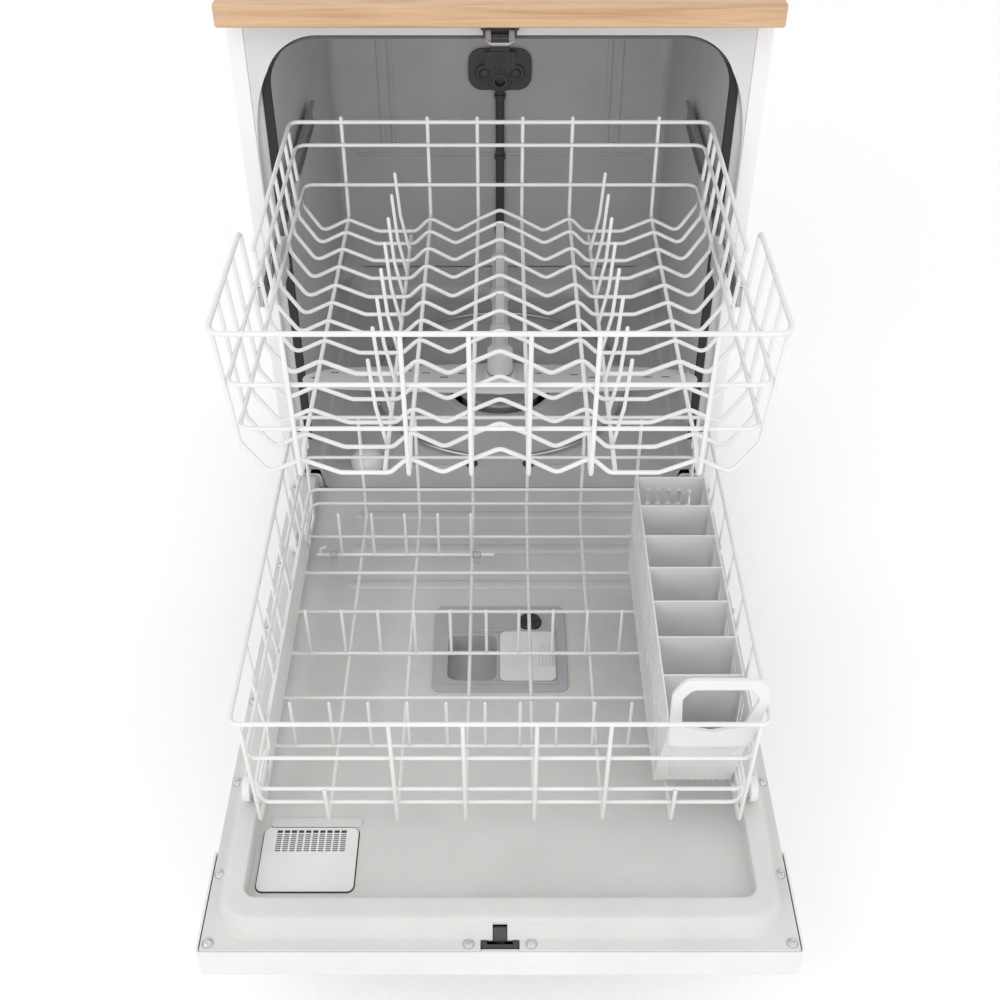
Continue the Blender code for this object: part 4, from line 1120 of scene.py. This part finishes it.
def build_door_screws():
    """Cross-head screws along the liner's flange."""
    head = [(0, -0.6), (5.1, -0.6), (5.1, 0.5), (4.5, 1.5), (2.9, 2.2), (0, 2.4)]
    cross = bmesh.new()
    add_box(cross, (-2.9, 2.9), (-0.65, 0.65), (0.9, 3))
    template = less(add_turned(bmesh.new(), head, (0, 0, 0), steps=32), cross)
    cross = add_box(bmesh.new(), (-0.65, 0.65), (-2.9, 2.9), (0.9, 3))
    template = less(template, cross)
    mesh = bpy.data.meshes.new("screw")
    template.to_mesh(mesh)
    template.free()
    screws = bmesh.new()
    places = [
        (293, -588),
        (293.6, -469),
        (293.6, -350),
        (293.6, -231),
        (293.6, -112),
        (292, -667),
        (31.3, -668)
    ]
    for number, (x, y) in enumerate(places):
        for side in (-1, 1):
            part = bmesh.new()
            part.from_mesh(mesh)
            turn = Matrix.Rotation(math.radians(37 * number + 20 * side), 4, "Z")
            part.transform(Matrix.Translation((side * x, y, LINER_FLAT)) @ turn)
            copy = bpy.data.meshes.new("screw")
            part.to_mesh(copy)
            screws.from_mesh(copy)
            bpy.data.meshes.remove(copy)
            part.free()
    bpy.data.meshes.remove(mesh)
    shape("liner_screws", screws, "polished", "door", angle=30)
    # Painted shade: washer-like grey discs under the screw heads, darker than the liner, stand in for the
    # shade in the recess round each head.
    shade_discs = bmesh.new()
    for x, y in places:
        for side in (-1, 1):
            add_turned(
                shade_discs, [(0, 204.4), (6.0, 204.4), (6.0, 204.9), (0, 204.9)], (side * x, y, 0), steps=28
            )
    shape("screw_shade_discs", shade_discs, "grey_part", "door", angle=30)
    for label, _ in SIDES:
        refined(f"hinge_arm_{label}", f"hinge_strap_{label}", "galvanised", 0.5)


# ---------------------------------------------------------------- racks

RIM = 2.5
RAIL = 2.2
THIN = 1.9


def leaning(low, high, z):
    """A wall's place at height z, from its (place, height) at the bottom and at the top."""
    return low[0] + (high[0] - low[0]) * (z - low[1]) / (high[1] - low[1])


def rail_loop(half, front, back, z, corner=12):
    """A level loop of wire with round corners."""
    return [(x, y, z) for x, y in rounded_box(-half, half, front, back, corner, 8)]


LOWER_FLOOR = 240.0
LOWER_RIM = 407.0
LOWER_RAILS = (346.0, 292.0, 268.0)
LOWER_BACK = -56.0
LOWER_CROSS_Y = [-450 + 70 * i for i in range(6)]
LOWER_TINE_X = [-226 + 42 * i for i in range(6)] + [22 + 40 * i for i in range(4)]


def lower_half(z):
    """Half the lower rack's width at a height."""
    return leaning((254, LOWER_FLOOR), (261.5, LOWER_RIM), z)


def lower_front(z):
    """The Y of the lower rack's front at a height."""
    return leaning((-545, LOWER_FLOOR), (-556, LOWER_RIM), z)


def build_lower_rack():
    routes = [
        (rail_loop(lower_half(LOWER_RIM), lower_front(LOWER_RIM), LOWER_BACK, LOWER_RIM, 9), RIM, True)
    ]
    for z in LOWER_RAILS:
        half, front = lower_half(z) - 4, lower_front(z) + 4
        routes.append((rail_loop(half, front, LOWER_BACK - 4, z), RAIL, True))
    for i in range(8):
        x = -252 + 72 * i
        top = LOWER_RAILS[1] if i in (1, 6) else LOWER_RIM - 1
        corners = [
            (x, lower_front(top), top),
            (x, lower_front(LOWER_FLOOR), LOWER_FLOOR),
            (x, LOWER_BACK, LOWER_FLOOR),
            (x, LOWER_BACK, LOWER_RIM - 1),
        ]
        routes.append((filleted(corners, 5), RAIL, False))
    floor = LOWER_FLOOR + 4.2
    for y in LOWER_CROSS_Y:
        half, rim = lower_half(floor) + 0.6, lower_half(LOWER_RIM)
        low = [(-rim, y, LOWER_RIM - 1), (-half, y, floor), (half, y, floor), (rim, y, LOWER_RIM - 1)]
        routes.append((filleted(low, 10), RAIL, False))
    wires("lower_rack_wires", routes, "nylon", "lower_rack", ["lower_rack"], facets=4)
    tines = []
    for y in LOWER_CROSS_Y[0:3:2]:
        for x in LOWER_TINE_X:
            tines.append(([(x, y, floor - 1), (x, y, floor + 71)], THIN, False))
    for side in (-1, 1):
        for y in (-460, -355, -250, -145):
            reach = lower_half(355)
            hook = [
                (side * (reach + 0.4), y, 362),
                (side * (reach - 4.5), y, 300),
                (side * (reach - 7.5), y, 262)
            ]
            tines.append((filleted(hook, 8), THIN, False))
    wires("lower_rack_tines", tines, "nylon", "lower_rack")

    brackets = bmesh.new()
    slots = bmesh.new()
    for row in ROWS:
        for label, side in SIDES:
            wheel = NODES[f"lower_wheel_{row}_{label}"]
            low, high = limits(wheel.name)
            y, z = middle_yz(low, high)
            outline = filleted(
                [(y - 30, 258), (y - 13, 231), (y + 13, 231), (y + 30, 258), (y + 30, 271), (y - 30, 271)],
                6,
                closed=True,
            )
            add_prism(brackets, "x", outline, side * 252.6, side * 257.6)
            axle = [(0, 250), (6, 250.6), (7, 252), (7, 261), (4, 262), (4, 277.6), (0, 278)]
            add_turned(brackets, [(r, side * x) for r, x in axle], (0, y, z), "x", steps=28)
            # Painted shade: charcoal pads shaped as slots on each bracket's outer face stand in for the
            # shade inside slot openings, which are not cut.
            for near, far in ((-27, -15), (15, 27)):
                slot = rounded_box(y + near, y + far, 262.5, 266.5, 1.9, 5)
                add_prism(slots, "x", slot, side * 256.6, side * 260)
    for side in (-1, 1):
        plate = filleted(
            [(-470, 246), (-150, 246), (-144, 262), (-150, 300), (-470, 300), (-476, 262)], 6, True
        )
        add_prism(brackets, "x", plate, side * 248.6, side * 250.4)
    shape("lower_rack_brackets", brackets, "wheel_white", "lower_rack", bevel=0.5)
    shape("bracket_slot_shade", slots, "charcoal_part", "lower_rack")

    low, high = limits("folding_tine_row")
    y, z = low.y + 2.2, low.z + 2.2
    comb = [([(low.x + 1, y, z), (high.x - 1, y, z)], 2.2, False)]
    for i in range(5):
        x = -205 + 42 * i
        comb.append(([(x, y, z - 1), (x, y, high.z - 1)], THIN, False))
    comb.append((filleted([(-233, y, z), (-233, y + 1, z + 9), (-227, y + 1, z + 12)], 4), 1.7, False))
    wires("folding_tines", comb, "nylon", "folding_tine_row", ["folding_tine_row"])
    clips = bmesh.new()
    for x in (-216, -30):
        add_turned(
            clips, [(2.5, x - 5), (4.4, x - 4), (4.4, x + 4), (2.5, x + 5)], (0, y, z), "x", steps=20
        )
        add_box(clips, (x - 4, x + 4), (y - 12, y), (z - 4.4, z - 1.8))
    shape("fold_clips", clips, "grey_part", "lower_rack", bevel=0.4)


def build_lower_wheels():
    for row in ROWS:
        for label, side in SIDES:
            node = f"lower_wheel_{row}_{label}"
            low, high = limits(node)
            y, z = middle_yz(low, high)
            profile = [
                (4.4, 268), (8, 268), (8.6, 269.6), (11, 269.6), (11.6, 268), (12.9, 268), (13.7, 268.9)
            ]
            profile += [
                (13.7, 275.1), (12.9, 276), (11.6, 276), (11, 274.2), (8.6, 274.2), (8, 276), (4.4, 276)
            ]
            turned = [(r, side * x) for r, x in profile]
            wheel = add_turned(bmesh.new(), turned, (0, y, z), "x", steps=56, ring=True)
            for k in range(8):
                way = math.radians(45 * k)
                at = (0, y + 9.8 * math.cos(way), z + 9.8 * math.sin(way))
                add_turned(wheel, [(0.9, side * 268.6), (0.9, side * 275.4)], at, "x", steps=8)
            shape(f"wheel_{row}_{label}", wheel, "wheel_white", node, [node], angle=35)


def basket_front(z):
    """The Y of the basket's raked front wall at a height."""
    return -499.0 - 42.0 * (z - 247.0) / 125.0


def build_basket():
    """A moulded cutlery basket: seven open cells, slotted walls, a raked front and a D-shaped handle."""
    low, high = limits("silverware_basket")
    x0, x1, y1, z0, z1 = low.x, high.x, high.y, low.z, high.z
    sides = [(-499, z0), (y1, z0), (y1, z1), (-531, z1), (-541, 372)]
    shell = add_prism(bmesh.new(), "x", sides, x0, x1)
    cells = bmesh.new()
    first, wall, pitch = -531.0, 1.7, 374 / 7
    for i in range(7):
        near, far = first + pitch * i, first + pitch * (i + 1) - wall
        outline = [(near, z0 + 2.4), (far, z0 + 2.4), (far, z1 + 20), (near, z1 + 20)]
        if i == 0:
            outline[0] = (-497.3, z0 + 2.4)
            outline[3:] = [(-539.2, z1 + 20), (-539.2, 372.0)]
        add_prism(cells, "x", outline, x0 + wall, x1 - wall)
    slots = bmesh.new()
    for i in range(7):
        near = first + pitch * i
        for k in range(4):
            y = near + 9 + 11.2 * k
            if y < -500:
                continue
            for bottom, top in ((z0 + 16, z0 + 66), (z0 + 78, z1 - 18)):
                outline = rounded_box(y - 2.6, y + 2.6, bottom, top, 2.5, 4)
                for edge in (x0, x1):
                    add_prism(slots, "x", outline, edge - 6, edge + 7)
    for k in range(5):
        x = x0 + 17 + 12.4 * k
        for bottom, top in ((z0 + 16, z0 + 66), (z0 + 78, z1 - 18)):
            add_prism(slots, "y", rounded_box(x - 2.6, x + 2.6, bottom, top, 2.5, 4), y1 - 6, y1 + 6)
    drains = bmesh.new()
    for i in range(7):
        near = first + pitch * i
        for row in range(5):
            for column in range(8):
                x, y = x0 + 11 + 8.8 * column, near + 7.5 + 9 * row
                if y > -491:
                    add_prism(
                        drains,
                        "z",
                        rounded_box(x - 2.7, x + 2.7, y - 2.7, y + 2.7, 1.2, 2),
                        z0 - 3,
                        z0 + 6
                    )
    feet = bmesh.new()
    for k in range(14):
        x = x0 + 6 + 5.5 * k
        add_box(feet, (x, x + 2.4 + 0.8 * (k % 3)), (-510, -495), (z0 - 4, z0 + 1.2 + 1.1 * (k % 2)))
    shape(
        "basket_body",
        less(shell, cells, slots, drains, feet),
        "basket_white",
        "silverware_basket",
        ["silverware_basket"],
        bevel=0.5,
        segments=2,
    )

    outer = filleted(
        [(166.5, 352), (248, 352), (260, 436), (250, 457), (176, 457), (164.5, 436)], 15, True, 6
    )
    inner = filleted(
        [(178, 390), (207, 382), (239, 390), (249, 431), (241, 444), (184, 444), (175, 431)], 9, True, 5
    )
    ring = add_prism(bmesh.new(), "y", [(p.x, p.y) for p in outer], -3, 3)
    hole = add_prism(bmesh.new(), "y", [(p.x, p.y) for p in inner], -9, 9)
    handle = less(ring, hole)
    for vert in handle.verts:
        lean = basket_front(min(vert.co.z, 372.0))
        vert.co.y = vert.co.y * 0.9 + lean - 2.4
    shape(
        "basket_bow",
        handle,
        "basket_white",
        "silverware_basket",
        ["basket_handle"],
        bevel=1.1,
        segments=4
    )
    creases = bmesh.new()
    for start, end in (((171.5, 371), (183, 262)), ((246, 371), (229, 262))):
        ends = []
        for x, z in (start, end):
            ends.append((x, basket_front(z), z))
        add_bead(creases, *ends, Vector((0, -1, 0)), 1.5, 0.9)
    shape("basket_creases", creases, "basket_white", "silverware_basket", angle=60)


# ---------------------------------------------------------------- upper rack

UPPER_RIM = 769.0
UPPER_REAR_RIM = 738.0
UPPER_FLOOR = 616.0
UPPER_FRONT = -431.0
UPPER_BACK = 82.0
RAISED_END = -248.0
UPPER_CROSS_Y = [-414.0, -374.0, -334.0, -294.0, -208.0, -168.0, -130.0, -92.0, -50.0, -8.0, 34.0, 66.0]
WAVE = [(219, 604), (187, 620), (151, 604), (104, 604), (86, 622), (54, 604), (26, 620), (0, 633)]


def upper_half(z):
    """Half the upper rack's width at a height."""
    return leaning((240, UPPER_FLOOR), (252, UPPER_RIM), z)


def upper_front(z):
    """The Y of the upper rack's front at a height."""
    return leaning((-420, 604), (UPPER_FRONT, UPPER_RIM), z)


def hanging_wire(y, rim):
    """A cross wire that hangs from the rim, with the waved floor that glasses and bowls rest on."""
    left = [(-upper_half(rim), y, rim), (-upper_half(640), y, 640)]
    left += [(-x, y, z) for x, z in WAVE]
    right = [(-x, y, z) for x, y, z in reversed(left[:-1])]
    return left + right


def build_upper_rack():
    rim = upper_half(UPPER_RIM)
    corner = [(x, y, UPPER_RIM) for x, y in arc((-rim + 14, UPPER_FRONT + 14), 14, 180, 270, 8)]
    front = corner + [(-x, y, z) for x, y, z in reversed(corner)]
    raised = [tuple(p) for p in filleted(hanging_wire(RAISED_END, UPPER_RIM), 10)]
    half = len(raised) // 2
    loop = list(reversed(raised[:half])) + front + list(reversed(raised[half:]))
    turned = filleted(loop[:half] + loop[half:], 9, closed=True)
    routes = [(turned, RIM, True)]
    rear_rim = upper_half(731)
    back = [(-rear_rim, -214, 731), (-rear_rim, UPPER_BACK, UPPER_REAR_RIM)]
    back += [(-x, y, z) for x, y, z in reversed(back)]
    routes.append((filleted(back, 12), RIM, False))
    for z in (711.0, 660.0):
        inset = upper_half(z) - 4
        routes.append((rail_loop(inset, upper_front(z) + 4, UPPER_BACK - 4, z), RAIL, True))
    for y in UPPER_CROSS_Y:
        routes.append((filleted(hanging_wire(y, UPPER_RIM if y < RAISED_END else 731.0), 10), RAIL, False))
    for side in (-1, 1):
        for x, low in ((27, 616.4), (86, 618.0), (188, 615.9)):
            corners = [
                (side * x, upper_front(UPPER_RIM), UPPER_RIM - 1),
                (side * x, -420, 604),
                (side * x, -405, 604),
                (side * x, -388, low),
                (side * x, UPPER_BACK, low),
                (side * x, UPPER_BACK, UPPER_REAR_RIM + 5),
            ]
            routes.append((filleted(corners, 9), RAIL, False))
        routes.append(([(side * 110, -404, 600), (side * 110, 60, 600)], RAIL, False))
    wires("upper_rack_wires", routes, "nylon", "upper_rack", ["upper_rack"], facets=4)
    tines = []
    for side in (-1, 1):
        for i in range(8):
            y = -366 + 56 * i
            tine = [(side * 110, y, 599), (side * 119, y, 645), (side * 123, y, 699)]
            tines.append((filleted(tine, 30), THIN, False))
    wires("upper_rack_tines", tines, "nylon", "upper_rack")

    brackets = bmesh.new()
    for row in ROWS:
        for label, side in SIDES:
            low, high = limits(f"rack_roller_{row}_{label}")
            y, z = middle_yz(low, high)
            outline = rounded_box(y - 24, y + 24, 630, 672, 5)
            add_prism(brackets, "x", outline, side * 240.4, side * 247)
            axle = [(0, 240), (6, 240.6), (7, 242), (7, 252.6), (3.2, 253), (3.2, 260.4), (0, 260.8)]
            add_turned(brackets, [(r, side * x) for r, x in axle], (0, y, z), "x", steps=28)
    shape("upper_rack_brackets", brackets, "grey_part", "upper_rack", bevel=0.8)


def build_upper_rollers():
    for row in ROWS:
        for label, side in SIDES:
            node = f"rack_roller_{row}_{label}"
            low, high = limits(node)
            y, z = middle_yz(low, high)
            profile = [(3.4, 254.2), (10.4, 254.2), (11, 254.8), (11, 259.1), (10.4, 259.7), (8.6, 259.7)]
            profile += [(8.0, 258.6), (5.4, 258.6), (5, 259.7), (3.4, 259.7)]
            turned = [(r, side * x) for r, x in profile]
            roller = add_turned(bmesh.new(), turned, (0, y, z), "x", steps=44, ring=True)
            shape(f"roller_{row}_{label}", roller, "wheel_white", node, [node], angle=35)
    for label, side in SIDES:
        node = f"track_roller_{label}"
        low, high = limits(node)
        y, z = middle_yz(low, high)
        profile = [
            (0, 255.6),
            (2, 256),
            (7.4, 256),
            (9, 257.2),
            (9, 261.2),
            (8, 262.2),
            (3, 262.2),
            (3, 267.6),
            (0, 267.6)
        ]
        turned = [(r, side * x) for r, x in profile]
        roller = add_turned(bmesh.new(), turned, (0, y, z), "x", steps=40)
        shape(f"tub_roller_{label}", roller, "wheel_white", node, [node], angle=35)
        node = f"upper_track_{label}"
        low, high = limits(node)
        near, far = 255.7, 262.2
        outline = [(near, low.z), (far, low.z), (far, high.z), (near, high.z), (near, high.z - 2.2)]
        outline += [(far - 2, high.z - 2.2), (far - 2, low.z + 2.2), (near, low.z + 2.2)]
        rail = add_prism(bmesh.new(), "y", [(side * x, z) for x, z in outline], low.y, high.y)
        shape(f"track_rail_{label}", rail, "brushed", node, [node], bevel=0.4)
        stops = bmesh.new()
        for start, end in ((low.y - 0.6, low.y + 6), (high.y - 6, high.y + 0.6)):
            outline = rounded_box(*sorted((side * 256.6, side * 259.9)), low.z + 2.6, high.z - 2.6, 1.4, 3)
            add_prism(stops, "y", outline, start, end)
        shape(f"track_stops_{label}", stops, "grey_part", node, bevel=0.4)


def build_feed_tube():
    """The tube along the upper rack that feeds its spray arm, with the clips that hold it."""
    _, high = limits("upper_feed_tube")
    hub = joint_at("upper_arm_spin")
    tube = add_turned(
        bmesh.new(), [(9, hub.y), (9, high.y - 3), (8.2, high.y)], (0, 0, FEED_Z), "y", steps=40
    )
    stem = [(0, -45), (16, -45), (18, -44), (18, -40.6), (17, -40), (9, -40), (9, -22), (14, -22)]
    stem += [(14, 4), (10, 8), (0, 9)]
    tube = plus(tube, add_turned(bmesh.new(), stem, (hub.x, hub.y, FEED_Z), steps=48))
    bore = add_turned(bmesh.new(), [(6, -150), (6, 90)], (0, 0, FEED_Z), "y", steps=32)
    shape("feed_pipe", less(tube, bore), "grey_part", "upper_rack", ["upper_feed_tube"], angle=40)
    clips = bmesh.new()
    for y in (-130, -50, 34):
        profile = [(9, y - 6), (11.4, y - 5), (11.4, y + 5), (9, y + 6)]
        add_turned(clips, profile, (0, 0, FEED_Z), "y", steps=32)
        add_prism(clips, "z", rounded_box(-5, 5, y - 3, y + 3, 2), FEED_Z + 8, 632)
    shape("feed_clips", clips, "grey_part", "upper_rack", bevel=0.4)


# ---------------------------------------------------------------- stage, light and camera


def build_stage():
    bpy.ops.mesh.primitive_plane_add(size=12, location=(0, 0, 0))
    floor = bpy.context.object
    floor.name = "pale_floor"
    made = bpy.data.materials.new("pale_floor")
    made.use_nodes = True
    shader = made.node_tree.nodes["Principled BSDF"]
    shader.inputs["Base Color"].default_value = (0.97, 0.97, 0.97, 1)
    shader.inputs["Roughness"].default_value = 0.9
    floor.data.materials.append(made)


def add_softbox(name, place, target, size, watts, colour=(1, 1, 1)):
    """A soft rectangular light turned towards a point."""
    light = bpy.data.lights.new(name, "AREA")
    light.shape = "RECTANGLE"
    light.size, light.size_y = size
    light.energy = watts
    light.color = colour
    obj = bpy.data.objects.new(name, light)
    obj.location = place
    obj.rotation_euler = (Vector(target) - Vector(place)).to_track_quat("-Z", "Y").to_euler()
    bpy.context.scene.collection.objects.link(obj)


BACKDROP_STRENGTH = 1.0
CAMERA_AT = (0.0, -1.347, 1.350)
CAMERA_TILT = 50.1
CAMERA_LENS = 45.3
SENSOR_WIDTH = 36


def build_lights():
    world = bpy.data.worlds.new("studio")
    world.use_nodes = True
    backdrop = world.node_tree.nodes["Background"]
    backdrop.inputs["Color"].default_value = (1, 1, 1, 1)
    backdrop.inputs["Strength"].default_value = BACKDROP_STRENGTH
    bpy.context.scene.world = world
    add_softbox("key", (-1.9, -2.0, 2.7), (0, -0.1, 0.5), (1.8, 1.8), 17)
    add_softbox("fill", (2.2, -1.8, 1.9), (0, -0.1, 0.4), (1.8, 1.8), 8)
    add_softbox("front", (0, -3.0, 1.3), (0, 0.3, 0.5), (2.4, 1.4), 11)


def build_camera():
    data = bpy.data.cameras.new("photo_view")
    data.sensor_width = SENSOR_WIDTH
    data.lens = CAMERA_LENS
    data.clip_start = 0.02
    camera = bpy.data.objects.new("photo_view", data)
    camera.location = CAMERA_AT
    camera.rotation_euler = (math.radians(CAMERA_TILT), 0, 0)
    bpy.context.scene.collection.objects.link(camera)
    bpy.context.scene.camera = camera


def build():
    make_finishes()
    build_worktop()
    build_skins()
    build_legs()
    build_tub()
    build_front_frame()
    build_striker()
    build_water_supply()
    build_wash_system()
    build_spray_arm("lower_spray_arm", "lower_spray_arm", "wash_blade_lower", 9)
    build_spray_arm("upper_spray_arm", "upper_spray_arm", "wash_blade_upper", 10)
    build_machinery()
    build_door_panel()
    build_controls()
    build_door_liner()
    build_vent()
    build_latch()
    build_dispenser()
    build_door_screws()
    build_lower_rack()
    build_lower_wheels()
    build_basket()
    build_upper_rack()
    build_upper_rollers()
    build_feed_tube()
    build_stage()
    build_lights()
    build_camera()
    bpy.context.scene.view_settings.view_transform = "Standard"


build()
